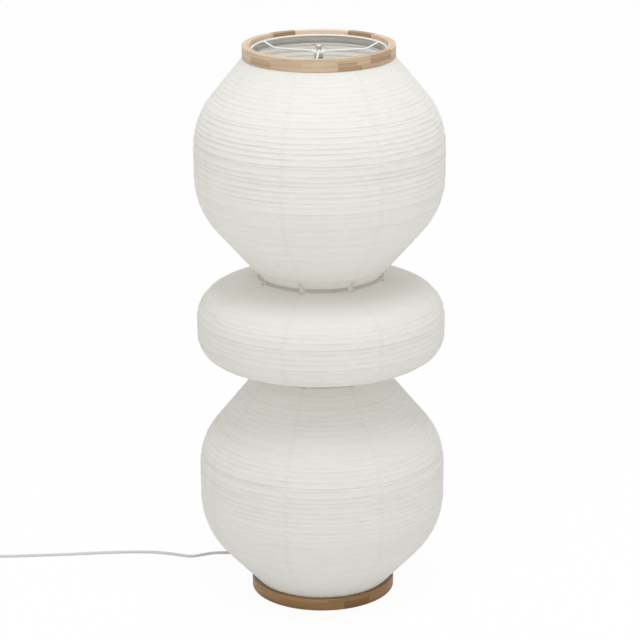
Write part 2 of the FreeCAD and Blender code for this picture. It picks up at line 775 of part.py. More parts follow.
def lampholder(name, z, side):
    """Bracket, nipple, holder, lead and bulb, reaching out from the pole on one side."""
    reach = f"{side} * holder_reach"

    collar = cylinder(name + "_collar", "collar_dia / 2", "collar_height", z=f"{z} - collar_height")
    arm = box(name + "_arm", "holder_reach", "bracket_width", "bracket_sheet",
              x="0" if side > 0 else "-holder_reach", y="-bracket_width / 2", z=f"{z} - bracket_sheet")
    pad = cylinder(name + "_seat", "bracket_width / 2", "bracket_sheet", x=reach, z=f"{z} - bracket_sheet")
    pole_way = cylinder(name + "_pole_way", "pole_hole_r", "collar_height * 3", z=f"{z} - collar_height * 2")
    nipple_way = cylinder(name + "_nipple_way", "nipple_dia / 2 + fit_play", "bracket_sheet * 3",
                          x=reach, z=f"{z} - bracket_sheet * 2")
    bracket = cut(name + "_bracket", fuse(name + "_plate", collar, arm, pad), pole_way, nipple_way)
    keep(bracket, name + "_holder_bracket")

    under = f"{z} - bracket_sheet - fit_play"
    nipple = turned(name + "_nipple", [
        ("nipple_bore / 2", f"{under} - nipple_nut"),
        ("nipple_nut_dia / 2", f"{under} - nipple_nut"),
        ("nipple_nut_dia / 2", under),
        ("nipple_dia / 2", under),
        ("nipple_dia / 2", f"{z} + nipple_rise"),
        ("nipple_bore / 2", f"{z} + nipple_rise"),
    ])
    move(nipple, x=reach)
    keep(nipple, name + "_holder_nipple")

    seat = f"{z} + fit_play"
    holder = turned(name + "_shell", [
        ("nipple_dia / 2 + fit_play", seat),
        ("holder_dia / 2 - holder_inset", seat),
        ("holder_dia / 2", f"{z} + holder_taper"),
        ("holder_dia / 2", f"{z} + holder_height - metal_edge"),
        ("holder_dia / 2 - metal_edge", f"{z} + holder_height"),
        ("cap_dia / 2 + fit_play", f"{z} + holder_height"),
        ("cap_dia / 2 + fit_play", f"{z} + holder_floor"),
        ("nipple_dia / 2 + fit_play", f"{z} + holder_floor"),
    ])
    move(holder, x=reach)
    keep(holder, name + "_lampholder")

    foot = f"{z} + holder_floor + seat_play"
    cap = turned(name + "_cap", [
        ("0", foot),
        ("contact_dia / 2", foot),
        ("contact_dia / 2 + metal_edge", f"{foot} + contact_height"),
        ("cap_dia / 2", f"{foot} + contact_height * 2"),
        ("cap_dia / 2", f"{foot} + cap_height"),
        ("0", f"{foot} + cap_height"),
    ])
    move(cap, x=reach)
    keep(cap, name + "_bulb_cap")

    glass_z = size(z) + size("holder_floor") + size("cap_height") + 2 * size("seat_play")
    glass = formed(name + "_bulb_glass", turned_shell(bulb_outline(glass_z), size("glass_wall")))
    move(glass, x=reach)

    low = size(z) - size("lead_drop")
    start = side * (size("cord_dia") / 2 + 2 * size("seat_play"))
    lead_path = bent_wire([
        (start, 0.0, low, 0.0),
        (side * size("holder_reach"), 0.0, low, size("lead_bend")),
        (side * size("holder_reach"), 0.0, size(z) + size("nipple_rise"), 0.0),
    ])
    formed(name + "_holder_lead", tube(lead_path, size("lead_dia")))


lampholder("upper", "upper_holder_z", 1)
lampholder("lower", "lower_holder_z", -1)

# ---------------------------------------------------------------- cable inside, clamp and gland
OUT = RADIAL.multVec(Vector(1, 0, 0))
inner_start = OUT * (size("gland_r") - size("fit_play"))
cable_path = bent_wire([
    (inner_start.x, inner_start.y, size("cable_z"), 0.0),
    (0.0, 0.0, size("cable_z"), size("cable_bend")),
    (0.0, 0.0, size("cable_top_z"), 0.0),
])
formed("inner_cable", tube(cable_path, size("cord_dia")))

clamp_block = doc.addObject("Part::Box", "ClampBlock")
bind(clamp_block, Length="clamp_length", Width="clamp_width", Height="clamp_top_z - plate_top_z")
along_cord(clamp_block, "clamp_r", "-clamp_width / 2", "plate_top_z")
# the cable lies in a round-topped channel that is open to the plate
channel_arch = radial_rod("ClampArch", "cord_dia / 2 + fit_play", "clamp_length * 3",
                          "clamp_r - clamp_length", "cable_z")
channel_slot = doc.addObject("Part::Box", "ClampSlot")
bind(channel_slot, Length="clamp_length * 3", Width="cord_dia + fit_play * 2",
     Height="cable_z - plate_top_z + clamp_roof")
along_cord(channel_slot, "clamp_r - clamp_length", "-cord_dia / 2 - fit_play", "plate_top_z - clamp_roof")
clamp_holes = [
    along_cord(
        cylinder(f"ClampHole{k}", "screw_dia / 2 + fit_play", "clamp_top_z"),
        "clamp_r + clamp_length / 2", f"{side} * ({SCREW_SIDE})", "plate_top_z - clamp_roof",
    )
    for k, side in enumerate((-1, 1))
]
keep(cut("Clamp", clamp_block, channel_arch, channel_slot, *clamp_holes), "cord_clamp")

clamp_screws = []
for k, side in enumerate((-1, 1)):
    shank = cylinder(f"ClampShank{k}", "screw_dia / 2", "clamp_top_z - pad_thick - screw_sink + fit_play")
    head = cylinder(f"ClampHead{k}", "screw_head_dia / 2", "screw_head")
    for bar, height in ((shank, "pad_thick + screw_sink"), (head, "clamp_top_z + fit_play / 2")):
        along_cord(bar, "clamp_r + clamp_length / 2", f"{side} * ({SCREW_SIDE})", height)
    clamp_screws.append(fuse(f"ClampScrew{k}", shank, head))
keep(group("ClampScrews", clamp_screws), "clamp_screws")

gland = doc.addObject("Part::Cone", "Gland")
bind(gland, Radius1="gland_dia / 2", Radius2="gland_tip_dia / 2", Height="gland_length")
turn(gland, Vector(0, 1, 0), 90)
along_cord(gland, "gland_r", "0", "cable_z")
keep(gland, "cord_gland")

# ---------------------------------------------------------------- the free cord on the floor
FLOOR = size("cord_dia") / 2
# from the gland's tip, down to the floor and away to the left: x, y and height of the cord's middle.
# each length of cord stops a hair short of the piece that it meets
CORD_RUN = [
    (-92.13, 92.13, 9.55),
    (-103.0, 102.4, 8.2),
    (-118.0, 113.0, 4.4),
    (-138.0, 120.6, FLOOR),
    (-163.0, 122.8, FLOOR),
    (-189.0, 122.4, FLOOR),
    (-207.5, 113.6, FLOOR),
    (-223.5, 106.9, FLOOR),
    (-239.5, 110.6, FLOOR),
    (-261.0, 120.2, FLOOR),
    (-290.0, 127.2, FLOOR),
    (-322.0, 129.0, FLOOR),
    (-360.0, 127.6, FLOOR),
    (-402.0, 124.3, FLOOR),
    (-446.0, 119.6, FLOOR),
    (-490.0, 117.2, FLOOR),
    (-534.0, 113.9, FLOOR),
    (-563.0, 112.9, 3.2),
    (-582.0, 112.7, 7.2),
    (-599.7, 112.6, 9.0),
]
# from the switch to the coil
CORD_LINK = [
    (-662.3, 112.6, 9.0),
    (-673.0, 112.65, 8.0),
    (-684.0, 112.65, 4.7),
    (-694.7, 112.6, 3.7),
]
# from the coil to the plug
CORD_TAIL = [
    (-694.8, 35.6, 9.3),
    (-688.0, 35.62, 9.0),
    (-680.0, 35.62, 7.3),
    (-672.2, 35.6, 7.0),
]


def cord_path(name, points):
    """Each turn gets the largest arc that its two runs allow."""
    bends, smallest = [0.0], math.inf
    for before, here, after in zip(points, points[1:], points[2:]):
        back, on = Vector(*before) - Vector(*here), Vector(*after) - Vector(*here)
        half_turn = (math.pi - back.getAngle(on)) / 2
        bends.append(0.45 * min(back.Length, on.Length) / math.tan(half_turn))
    print(name, "radii", [round(bend) for bend in bends[1:]])
    return bent_wire([(*point, bend) for point, bend in zip(points, bends + [0.0])])


for cord_name, cord_points in (("cord_run", CORD_RUN), ("cord_link", CORD_LINK), ("cord_tail", CORD_TAIL)):
    path = cord_path(cord_name, cord_points)
    solid = tube(path, size("cord_dia"))
    check_tube(cord_name, solid, path, size("cord_dia"))
    formed(cord_name, solid)


# ---------------------------------------------------------------- the coil of cord that is put away
def coil_radius(turns):
    """In at a steady rate, and out again from the middle of the half turn that climbs."""
    return size("coil_inner_r") + size("coil_pitch") * abs(turns - size("coil_turns") - 0.25)


def coil_height(turns):
    climb = min(max((turns - size("coil_turns")) / 0.5, 0.0), 1.0)
    smooth = climb * climb * (3 - 2 * climb)
    return size("coil_low_z") + (size("coil_high_z") - size("coil_low_z")) * smooth


def coil_point(turns):
    angle = math.pi / 2 + 2 * math.pi * turns
    return Vector(
        size("coil_x") + coil_radius(turns) * math.cos(angle),
        size("coil_y") + coil_radius(turns) * math.sin(angle),
        coil_height(turns),
    )


def biarc(p0, t0, p1, t1):
    """Two arcs that leave one point and reach another along given directions."""
    chord = p1 - p0
    both = t0 + t1
    a, b, c = 2 * (1 - t0.dot(t1)), chord.dot(both), chord.dot(chord)
    reach = c / (2 * b) if abs(a) < 1e-9 else (-b + math.sqrt(b * b + a * c)) / a
    q0, q1 = p0 + t0 * reach, p1 - t1 * reach
    joint = (q0 + q1) / 2
    arcs = []
    for start, corner, end in ((p0, q0, joint), (joint, q1, p1)):
        half = (start - corner).getAngle(end - corner) / 2
        toward = unit(unit(start - corner) + unit(end - corner))
        radius = (start - corner).Length * math.tan(half)
        middle = corner + toward * (radius / math.sin(half) - radius)
        arcs.append(Part.Arc(start, middle, end).toShape())
    return arcs


def coil_wire():
    total = 2 * size("coil_turns") + 0.5
    quarters = int(round(total * 4))
    step = total / quarters
    points = [coil_point(k * step) for k in range(quarters + 1)]
    ways = [coil_point(k * step + 1e-4) - coil_point(k * step - 1e-4) for k in range(1, quarters)]
    # the layers end square to the straight leads, and turn level where they reverse
    ways = [Vector(-1, 0, 0)] + [unit(w) for w in ways] + [Vector(1, 0, 0)]
    lead_in, lead_out = (way * size("cord_dia") for way in (ways[0], ways[-1]))
    edges = [Part.LineSegment(points[0] - lead_in, points[0]).toShape()]
    for k in range(quarters):
        edges += biarc(points[k], ways[k], points[k + 1], ways[k + 1])
    edges.append(Part.LineSegment(points[-1], points[-1] + lead_out).toShape())
    return Part.Wire(edges)


coil_path = coil_wire()
coil = tube(coil_path, size("cord_dia"))
check_tube("cord_coil", coil, coil_path, size("cord_dia"))
formed("cord_coil", coil)


GAP_STEP = 2.0


def least_gap(wire, diameter):
    """The least gap of a tube to its own other turns, on points along its middle."""
    points = wire.discretize(Distance=GAP_STEP)
    apart = int(math.pi * size("coil_inner_r") / GAP_STEP)
    nearest = min(
        (points[i] - points[j]).Length
        for i in range(len(points))
        for j in range(i + apart, len(points))
    )
    return nearest - diameter


print(f"cord_coil: least gap to itself {least_gap(coil_path, size('cord_dia')):.2f} mm")

# a strap round the coil's +X side, where its turns lie half a pitch off their ends, holds it together
TIE_LOW = "coil_inner_r + coil_pitch * 0.5 - cord_dia / 2 - tie_play * 3"
TIE_HIGH = "coil_inner_r + coil_pitch * (coil_turns - 0.5) + cord_dia / 2 + tie_play"
TIE_FLOOR = "coil_lift - tie_play"
TIE_ROOF = "coil_high_z + cord_dia / 2 + tie_play"
TIE_SPAN = f"({TIE_HIGH}) - ({TIE_LOW})"
TIE_RISE = f"({TIE_ROOF}) - ({TIE_FLOOR})"
tie_band = box("TieBand", TIE_SPAN + " + tie_sheet * 2", "tie_width", TIE_RISE + " + tie_sheet * 2",
               x=f"coil_x + {TIE_LOW} - tie_sheet", y="coil_y - tie_width / 2", z=f"{TIE_FLOOR} - tie_sheet")
tie_hole = box("TieHole", TIE_SPAN, "tie_width * 3", TIE_RISE,
               x=f"coil_x + {TIE_LOW}", y="coil_y - tie_width * 1.5", z=TIE_FLOOR)
keep(cut("Tie", tie_band, tie_hole), "coil_tie")


# ---------------------------------------------------------------- in-line rocker switch
def switch_half(name, low, high):
    """Half of the switch's housing: a long block with cut corners."""
    half_long, half_wide, corner = "switch_length / 2", "switch_width / 2", "switch_corner"
    corners = []
    for sx, sy in ((-1, -1), (1, -1), (1, 1), (-1, 1)):
        near = (f"switch_x + {sx} * {half_long}", f"switch_y + {sy} * ({half_wide} - {corner} / 2)")
        far = (f"switch_x + {sx} * ({half_long} - {corner})", f"switch_y + {sy} * {half_wide}")
        corners += [near, far] if sx * sy > 0 else [far, near]
    return padded(name, corners, f"({high}) - ({low})", low)


def pivot_rod(name, radius, width):
    """A cylinder across the switch, on the rocker's pivot."""
    return cylinder(name, radius, width, x="switch_x", y=f"switch_y + ({width}) / 2", z="switch_split",
                    axis=Vector(1, 0, 0), angle=90)


PIN_SPAN = "rocker_width + switch_wall * 2"


SCREW_REACH = "(switch_length / 2 - switch_corner)"


def housing(name, low, high, screw_top):
    """A half with room for the rocker's drum, its pins and the screws that come up from below."""
    block = switch_half(name + "Block", low, high)
    drum = pivot_rod(name + "Drum", "rocker_dia / 2 + rocker_play", "rocker_width + rocker_play * 2")
    pins = pivot_rod(name + "Pins", "rocker_pin_dia / 2 + fit_play", PIN_SPAN + " + rocker_play * 2")
    holes = [
        cylinder(f"{name}Screw{k}", "screw_dia / 2 + fit_play", f"{screw_top} + switch_wall",
                 x=f"switch_x + {side} * {SCREW_REACH}", y="switch_y", z="-switch_wall")
        for k, side in enumerate((-1, 1))
    ]
    return cut(name, block, drum, pins, *holes)


switch_base = housing("SwitchBase", "0", "switch_split - fit_play / 2", "switch_split")
keep(switch_base, "switch_base")
switch_cover = housing("SwitchCover", "switch_split + fit_play / 2", "switch_height",
                       "switch_height - switch_wall")
keep(switch_cover, "switch_cover")

screws = [
    cylinder(f"SwitchScrew{k}", "screw_dia / 2",
             "switch_height - switch_wall - rocker_play - screw_sink",
             x=f"switch_x + {side} * {SCREW_REACH}", y="switch_y", z="screw_sink")
    for k, side in enumerate((-1, 1))
]
keep(group("SwitchScrews", screws), "switch_screws")

# the rocker: a drum on two pins, its top cut to two shallow faces, one side pressed down
drum = pivot_rod("RockerDrum", "rocker_dia / 2", "rocker_width")
pin = pivot_rod("RockerPins", "rocker_pin_dia / 2", PIN_SPAN)
shaves = []
for k, side in enumerate((-1, 1)):
    shave = doc.addObject("Part::Box", f"RockerShave{k}")
    bind(shave, Length="rocker_dia", Width="rocker_width * 3", Height="rocker_dia")
    tilt = side * size("rocker_tilt") - size("rocker_tilt")
    lean = Rotation(Vector(0, 1, 0), tilt)
    pivot = Vector(size("switch_x"), size("switch_y"), size("switch_split"))
    crown = size("rocker_dia") / 2 - size("rocker_crown")
    left = 0.0 if side > 0 else -size("rocker_dia")
    spot = pivot + lean.multVec(Vector(left, -1.5 * size("rocker_width"), crown))
    shave.Placement = Placement(spot, lean)
    shaves.append(shave)
keep(cut("Rocker", fuse("RockerBlank", drum, pin), *shaves), "switch_rocker")

# ---------------------------------------------------------------- plug
plug_body = padded("PlugBody", [
    ("plug_x", "plug_y - plug_nose / 2"),
    ("plug_x + plug_taper", "plug_y - plug_width / 2"),
    ("plug_x + plug_length", "plug_y - plug_width / 2"),
    ("plug_x + plug_length", "plug_y + plug_width / 2"),
    ("plug_x + plug_taper", "plug_y + plug_width / 2"),
    ("plug_x", "plug_y + plug_nose / 2"),
], "plug_thick")
keep(plug_body, "plug_body")

pins = []
for k, side in enumerate((-1, 1)):
    pins.append(cylinder(
        f"PlugPin{k}", "pin_dia / 2", "pin_length",
        x="plug_x + plug_length + fit_play", y=f"plug_y + {side} * pin_gap / 2", z="plug_thick / 2",
        axis=Vector(0, 1, 0), angle=90,
    ))
keep(group("PlugPins", pins), "plug_pins")

# ---------------------------------------------------------------- check and write
doc.recompute()
faults = [f"{o.Label}: {o.State}" for o in doc.Objects if {"Invalid", "Error"} & set(o.State)]
for piece in PARTS:
    if piece.Shape.isNull() or not piece.Shape.isValid():
        faults.append(piece.Label + ": no valid shape")
    if not piece.Shape.Solids:
        faults.append(piece.Label + ": no solid")
if faults:
    raise RuntimeError("; ".join(faults))

os.makedirs("parts", exist_ok=True)
for piece in PARTS:
    piece.Shape.exportStep(f"parts/{piece.Label}.step")
    print(f"{piece.Label}: {len(piece.Shape.Solids)} solids, {piece.Shape.Volume:.0f} mm3")
print(len(PARTS), "sub-parts written")
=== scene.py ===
# %% [markdown]
# # A paper lantern floor lamp
# The lamp is one tall paper lantern of three sections between two wooden rings. A wire spider in the
# top ring hangs it on a slim steel stand. The construction arrives as a fixed frame of separate parts, and
# this file gives them their looks: pleated paper, laminated wood, wire, steel, opal glass and a soft cord.
# Everything is in metres, with +Z up and the room side of the lamp towards -Y.

import json
import math

import bmesh
import bpy
from mathutils import Matrix, Vector


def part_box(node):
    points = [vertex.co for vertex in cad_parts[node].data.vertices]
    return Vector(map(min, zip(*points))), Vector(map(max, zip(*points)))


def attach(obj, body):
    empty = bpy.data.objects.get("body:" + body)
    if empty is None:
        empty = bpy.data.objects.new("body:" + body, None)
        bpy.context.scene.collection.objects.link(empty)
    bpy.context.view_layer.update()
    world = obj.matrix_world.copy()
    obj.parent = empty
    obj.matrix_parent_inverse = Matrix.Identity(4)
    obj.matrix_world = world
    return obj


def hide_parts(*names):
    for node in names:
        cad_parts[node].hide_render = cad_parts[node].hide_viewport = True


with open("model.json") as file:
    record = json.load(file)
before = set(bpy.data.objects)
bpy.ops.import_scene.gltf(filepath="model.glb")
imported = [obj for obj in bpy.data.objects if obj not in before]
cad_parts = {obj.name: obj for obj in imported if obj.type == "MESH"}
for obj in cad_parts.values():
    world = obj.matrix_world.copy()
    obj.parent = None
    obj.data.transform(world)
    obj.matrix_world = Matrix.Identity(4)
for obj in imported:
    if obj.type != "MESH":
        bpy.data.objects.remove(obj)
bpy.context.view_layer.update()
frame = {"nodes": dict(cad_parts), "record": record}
NODES = frame["nodes"]
MM = 0.001

# %% Two short ways to make an object


def put(name, data):
    """A new object in the scene."""
    piece = bpy.data.objects.new(name, data)
    bpy.context.scene.collection.objects.link(piece)
    return piece


def mesh_of(name, shape):
    """The mesh of a finished bmesh, which is freed."""
    mesh = bpy.data.meshes.new(name)
    shape.to_mesh(mesh)
    shape.free()
    return mesh


print("object helpers ready")

# %% [markdown]
# ## The camera
# The picture was taken from about four metres away with a long lens, looking down at the lamp. The three
# numbers that fix such a view are the lens, the distance and the tilt. A slight roll matches the way the
# picture leans, and the lens is written for a picture of 640 pixels a side.

# %% Place the camera
PICTURE = 640
SENSOR = 36.0
FOCAL_PIXELS = 2558
EYE = Vector((0.0, -3.948, 1.726))
TILT_DOWN = math.radians(17.77)
ROLL = math.radians(0.45)
CENTRE_COLUMN = 320.9
NEAR, FAR = 0.1, 60

camera_data = bpy.data.cameras.new("view")
camera_data.sensor_width = SENSOR
camera_data.lens = FOCAL_PIXELS / PICTURE * SENSOR
camera_data.shift_x = (PICTURE / 2 - CENTRE_COLUMN) / PICTURE
camera_data.clip_start, camera_data.clip_end = NEAR, FAR
camera = put("view", camera_data)
camera.matrix_world = (
    Matrix.Translation(EYE)
    @ Matrix.Rotation(math.pi / 2 - TILT_DOWN, 4, "X")
    @ Matrix.Rotation(-ROLL, 4, "Z")
)
bpy.context.scene.camera = camera
print(f"camera: {camera_data.lens:.1f} mm lens, {EYE.length:.2f} m from the lamp's foot")

# %% [markdown]
# ## Cords
# A cord is one smooth line. A NURBS curve of order 3 passes near each of its points without a kink, so a
# dozen given points make loose, uneven bends. The round section is the curve's own bevel. The
# first cord runs from the lamp to its hand switch. The second runs on from the switch and is wound into a
# coil of two layers, and then reaches the plug.

# %% Points of the cord from the lamp to the switch
CORD = 5 * MM
RUN = [
    (-91.92, 91.92, 9.55), (-103.0, 102.4, 8.2), (-118.0, 113.0, 4.4), (-138.0, 120.6, 2.5),
    (-163.0, 122.8, 2.5), (-189.0, 122.4, 2.5), (-207.5, 113.6, 2.5), (-223.5, 106.9, 2.5),
    (-239.5, 110.6, 2.5), (-261.0, 120.2, 2.5), (-290.0, 127.2, 2.5), (-322.0, 129.0, 2.5),
    (-360.0, 127.6, 2.5), (-402.0, 124.3, 2.5), (-446.0, 119.6, 2.5), (-490.0, 117.2, 2.5),
    (-534.0, 113.9, 2.5), (-563.0, 112.9, 3.2), (-582.0, 112.7, 7.2), (-600.0, 112.6, 9.0),
]
LINK = [(-662.0, 112.6, 9.0), (-673.0, 112.65, 8.0), (-684.0, 112.65, 4.7), (-695.0, 112.6, 3.7)]
TAIL = [(-695.0, 35.6, 9.3), (-688.0, 35.62, 9.0), (-680.0, 35.62, 7.3), (-672.0, 35.6, 7.0)]
print("points of the cord before the coil:", len(RUN) + len(LINK), "and after it:", len(TAIL))

# %% Turns of the coil: in at a steady rate, up in the middle half turn, and out again
COIL_MIDDLE = (-700.0, 74.1)
COIL_OUTER = 38.5
COIL_PITCH = 5.6
COIL_TURNS, CLIMB_TURNS = 3, 0.5
MIDDLE_TURN = COIL_TURNS + CLIMB_TURNS / 2
COIL_LOW, COIL_HIGH = 3.7, 9.3
POINTS_PER_TURN = 16


def coil_point(turns):
    """A point of the coil in millimetres, some turns on from where the cord comes in."""
    inner = COIL_OUTER - MIDDLE_TURN * COIL_PITCH
    radius = inner + COIL_PITCH * abs(turns - MIDDLE_TURN)
    # a spline of order 3 cuts inside its points, so they stand out by the sagitta of half a step
    radius /= math.cos(math.pi / POINTS_PER_TURN) ** 0.5
    climb = min(max((turns - COIL_TURNS) / CLIMB_TURNS, 0.0), 1.0)
    height = COIL_LOW + (COIL_HIGH - COIL_LOW) * climb * climb * (3 - 2 * climb)
    angle = math.pi / 2 + 2 * math.pi * turns
    return (COIL_MIDDLE[0] + radius * math.cos(angle), COIL_MIDDLE[1] + radius * math.sin(angle), height)


coil_steps = int((2 * COIL_TURNS + CLIMB_TURNS) * POINTS_PER_TURN)
COIL = [coil_point(k / POINTS_PER_TURN) for k in range(1, coil_steps)]
print("coil:", len(COIL), "points")

# %% Make both cords


def lay_cord(name, points):
    """A round cord along one NURBS spline; the points are in millimetres."""
    curve = bpy.data.curves.new(name, "CURVE")
    curve.dimensions = "3D"
    curve.bevel_depth = 1.0
    curve.bevel_resolution = 5
    curve.resolution_u = 8
    curve.use_fill_caps = True
    spline = curve.splines.new("NURBS")
    spline.points.add(len(points) - 1)
    for spot, (x, y, z) in zip(spline.points, points):
        spot.co, spot.radius = (x * MM, y * MM, z * MM, 1.0), CORD / 2
    spline.order_u = 3
    spline.use_endpoint_u = True
    return put(name, curve)


cord_to_switch = lay_cord("cord_to_switch", RUN)
cord_to_plug = lay_cord("cord_to_plug", LINK + COIL + TAIL)
for cord, replaced in ((cord_to_switch, ["cord_run"]), (cord_to_plug, ["cord_link", "cord_coil", "cord_tail"])):
    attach(cord, "stand")
    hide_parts(*replaced)
print("cords laid")

# %% [markdown]
# ## A short way to write materials and node trees
# Both a material and a Geometry Nodes modifier are trees of nodes. `Tree.node` adds any node: its settings
# first, then the values or links of its sockets. What it returns is a `Wire`, and sums and products written
# with wires add Math nodes, so a formula in this file looks like a formula.

# %% Wires and trees


class Wire:
    """One output of a node, on which the usual operators add Math nodes."""

    def __init__(self, tree, socket):
        self.tree, self.socket = tree, socket

    def math(self, operation, *values):
        return self.tree.node("ShaderNodeMath", {"operation": operation}, dict(enumerate(values)))

    def __add__(self, other):
        return self.math("ADD", self, other)

    def __sub__(self, other):
        return self.math("SUBTRACT", self, other)

    def __mul__(self, other):
        return self.math("MULTIPLY", self, other)

    def __truediv__(self, other):
        return self.math("DIVIDE", self, other)

    def __rtruediv__(self, other):
        return self.math("DIVIDE", other, self)

    def __pow__(self, other):
        return self.math("POWER", self, other)

    def __lt__(self, other):
        return self.math("LESS_THAN", self, other)

    def __abs__(self):
        return self.math("ABSOLUTE", self)

    __radd__ = __add__
    __rmul__ = __mul__


class Tree:
    """Adds nodes to a material's or a modifier's tree."""

    def __init__(self, tree):
        self.tree = tree

    def node(self, kind, settings=None, sockets=None, out=0):
        made = self.tree.nodes.new(kind)
        for name, value in (settings or {}).items():
            setattr(made, name, value)
        for name, value in (sockets or {}).items():
            self.plug(made.inputs[name], value)
        return Wire(self, made.outputs[out])

    def plug(self, socket, value):
        if isinstance(value, Wire):
            self.tree.links.new(value.socket, socket)
        else:
            socket.default_value = value

    def vector(self, operation, *values, out=0):
        return self.node("ShaderNodeVectorMath", {"operation": operation}, dict(enumerate(values)), out)

    def mix(self, first, second, factor):
        sockets = {0: factor, 6: first, 7: second}
        return self.node("ShaderNodeMix", {"data_type": "RGBA"}, sockets, out=2)

    def apart(self, vector):
        split = self.node("ShaderNodeSeparateXYZ", sockets={0: vector})
        return [Wire(self, out) for out in split.socket.node.outputs]

    def combine(self, x=0.0, y=0.0, z=0.0):
        return self.node("ShaderNodeCombineXYZ", sockets={0: x, 1: y, 2: z})

    def named(self, field):
        """A number that the points carry."""
        return self.node("GeometryNodeInputNamedAttribute", {"data_type": "FLOAT"}, {"Name": field})

    def store(self, geometry, kind, name, value):
        """The geometry, whose points now carry a value."""
        settings = {"data_type": kind, "domain": "POINT"}
        sockets = {"Geometry": geometry, "Name": name, "Value": value}
        return self.node("GeometryNodeStoreNamedAttribute", settings, sockets)

    def seen(self):
        """1 where a camera, glossy or transmission ray looks, and 0 for light between surfaces."""
        rays = self.node("ShaderNodeLightPath").socket.node.outputs
        kinds = ("Is Camera Ray", "Is Glossy Ray", "Is Transmission Ray")
        direct, mirrored, through = (Wire(self, rays[kind]) for kind in kinds)
        return self.least(direct + mirrored + through, 1.0)

    def noise(self, vector, scale, detail=2.0, roughness=0.5):
        """Noise about 0, from -1 to 1."""
        sockets = {"Vector": vector, "Scale": scale, "Detail": detail, "Roughness": roughness}
        return self.node("ShaderNodeTexNoise", sockets=sockets) * 2 - 1

    def stretched(self, vector, x, y, z):
        return self.vector("MULTIPLY", vector, (x, y, z))

    def least(self, value, bound):
        return value.math("MINIMUM", value, bound)

    def most(self, value, bound):
        return value.math("MAXIMUM", value, bound)


def linear(red, green, blue):
    """A colour as it looks on a screen, 0 to 255, as the linear light that a shader takes."""
    def light(level):
        level /= 255
        return level / 12.92 if level <= 0.04045 else ((level + 0.055) / 1.055) ** 2.4

    return (light(red), light(green), light(blue), 1.0)


class Finish(Tree):
    """A material of one Principled shader, with its constants set on the shader's own sockets."""

    def __init__(self, name, **constants):
        self.material = bpy.data.materials.new(name)
        self.material.use_nodes = True
        super().__init__(self.material.node_tree)
        self.surface = self.tree.nodes["Principled BSDF"]
        self.end = self.tree.nodes["Material Output"]
        for socket, value in constants.items():
            self.surface.inputs[socket.replace("_", " ")].default_value = value

    def place(self):
        return self.node("ShaderNodeTexCoord", out="Object")

    def attribute(self, name, out="Fac"):
        return self.node("ShaderNodeAttribute", {"attribute_name": name}, out=out)

    def colour(self, value):
        self.plug(self.surface.inputs["Base Color"], value)

    def rough(self, value):
        self.plug(self.surface.inputs["Roughness"], value)

    def bump(self, height, distance, strength=1.0):
        sockets = {"Height": height, "Distance": distance, "Strength": strength}
        self.plug(self.surface.inputs["Normal"], self.node("ShaderNodeBump", sockets=sockets))


print("helpers ready")

# %% [markdown]
# ## Finishes of the small and hard parts
# Painted wire, cast and bent steel, felt and moulded plastic each get a colour that wanders a little, and a
# fine bump at their own scale. One rule makes them all: two shades mixed by noise, a roughness that follows
# the same noise, and a grain. What differs is the numbers, so they are kept in one list.

# %% A finish from numbers
ROUGH_SPREAD = 0.12


def plain_finish(name, first, second, spot, rough, grain, depth, **constants):
    """Two shades mixed by spots of a size, and a fine grain of another size, both in millimetres."""
    finish = Finish(name, **constants)
    where = finish.place()
    patches = finish.noise(where, 1 / (spot * MM), 3.0) * 0.5 + 0.5
    finish.colour(finish.mix(linear(*first), linear(*second), patches))
    finish.rough(patches * ROUGH_SPREAD + (rough - ROUGH_SPREAD / 2))
    finish.bump(finish.noise(where, 1 / (grain * MM), 2.0), depth * MM)
    return finish.material


def numbers(*values, **constants):
    return values, constants


# two shades, spot size, roughness, grain size and depth, and any constants of the shader
FINISH_NUMBERS = {
    "bamboo": numbers((249, 246, 240), (241, 237, 228), 9, 0.6, 0.7, 0.05),
    "white_wire": numbers((240, 240, 239), (232, 232, 231), 6, 0.42, 0.9, 0.03),
    "neck_wire": numbers((176, 160, 148), (150, 134, 122), 4, 0.5, 0.6, 0.03, Metallic=0.2),
    "clip_steel": numbers((190, 189, 186), (168, 167, 164), 3, 0.34, 0.4, 0.02, Metallic=1.0),
    "bright_steel": numbers((205, 205, 204), (188, 188, 187), 5, 0.28, 0.5, 0.02, Metallic=1.0),
    "grey_paint": numbers((118, 119, 121), (108, 109, 111), 12, 0.45, 0.8, 0.04),
    "felt": numbers((92, 91, 90), (70, 69, 69), 1.2, 0.95, 0.35, 0.25, Sheen_Weight=0.3),
    "brass_nipple": numbers((198, 172, 108), (176, 148, 88), 4, 0.32, 0.4, 0.02, Metallic=1.0),
    "holder_white": numbers((236, 234, 228), (228, 226, 219), 15, 0.35, 1.0, 0.02),
    "cap_aluminium": numbers((200, 200, 199), (180, 180, 179), 4, 0.3, 0.4, 0.02, Metallic=1.0),
    "white_plastic": numbers((238, 238, 236), (231, 231, 229), 14, 0.38, 0.7, 0.03),
    "tie_strap": numbers((225, 224, 221), (205, 204, 200), 0.8, 0.8, 0.3, 0.15),
    "plug_white": numbers((236, 236, 234), (229, 229, 227), 14, 0.4, 0.7, 0.03),
    "nickel": numbers((212, 209, 203), (196, 193, 187), 4, 0.22, 0.4, 0.015, Metallic=1.0),
    "cord_sheath": numbers((206, 206, 203), (198, 198, 195), 25, 0.42, 1.1, 0.03, Coat_Weight=0.1),
    "opal_glass": numbers(
        (244, 243, 238), (240, 239, 233), 20, 0.28, 4.0, 0.01, Subsurface_Weight=0.2, Subsurface_Scale=0.004
    ),
}
FINISHES = {
    name: plain_finish(name, *values, **constants) for name, (values, constants) in FINISH_NUMBERS.items()
}
print("plain finishes:", len(FINISHES))

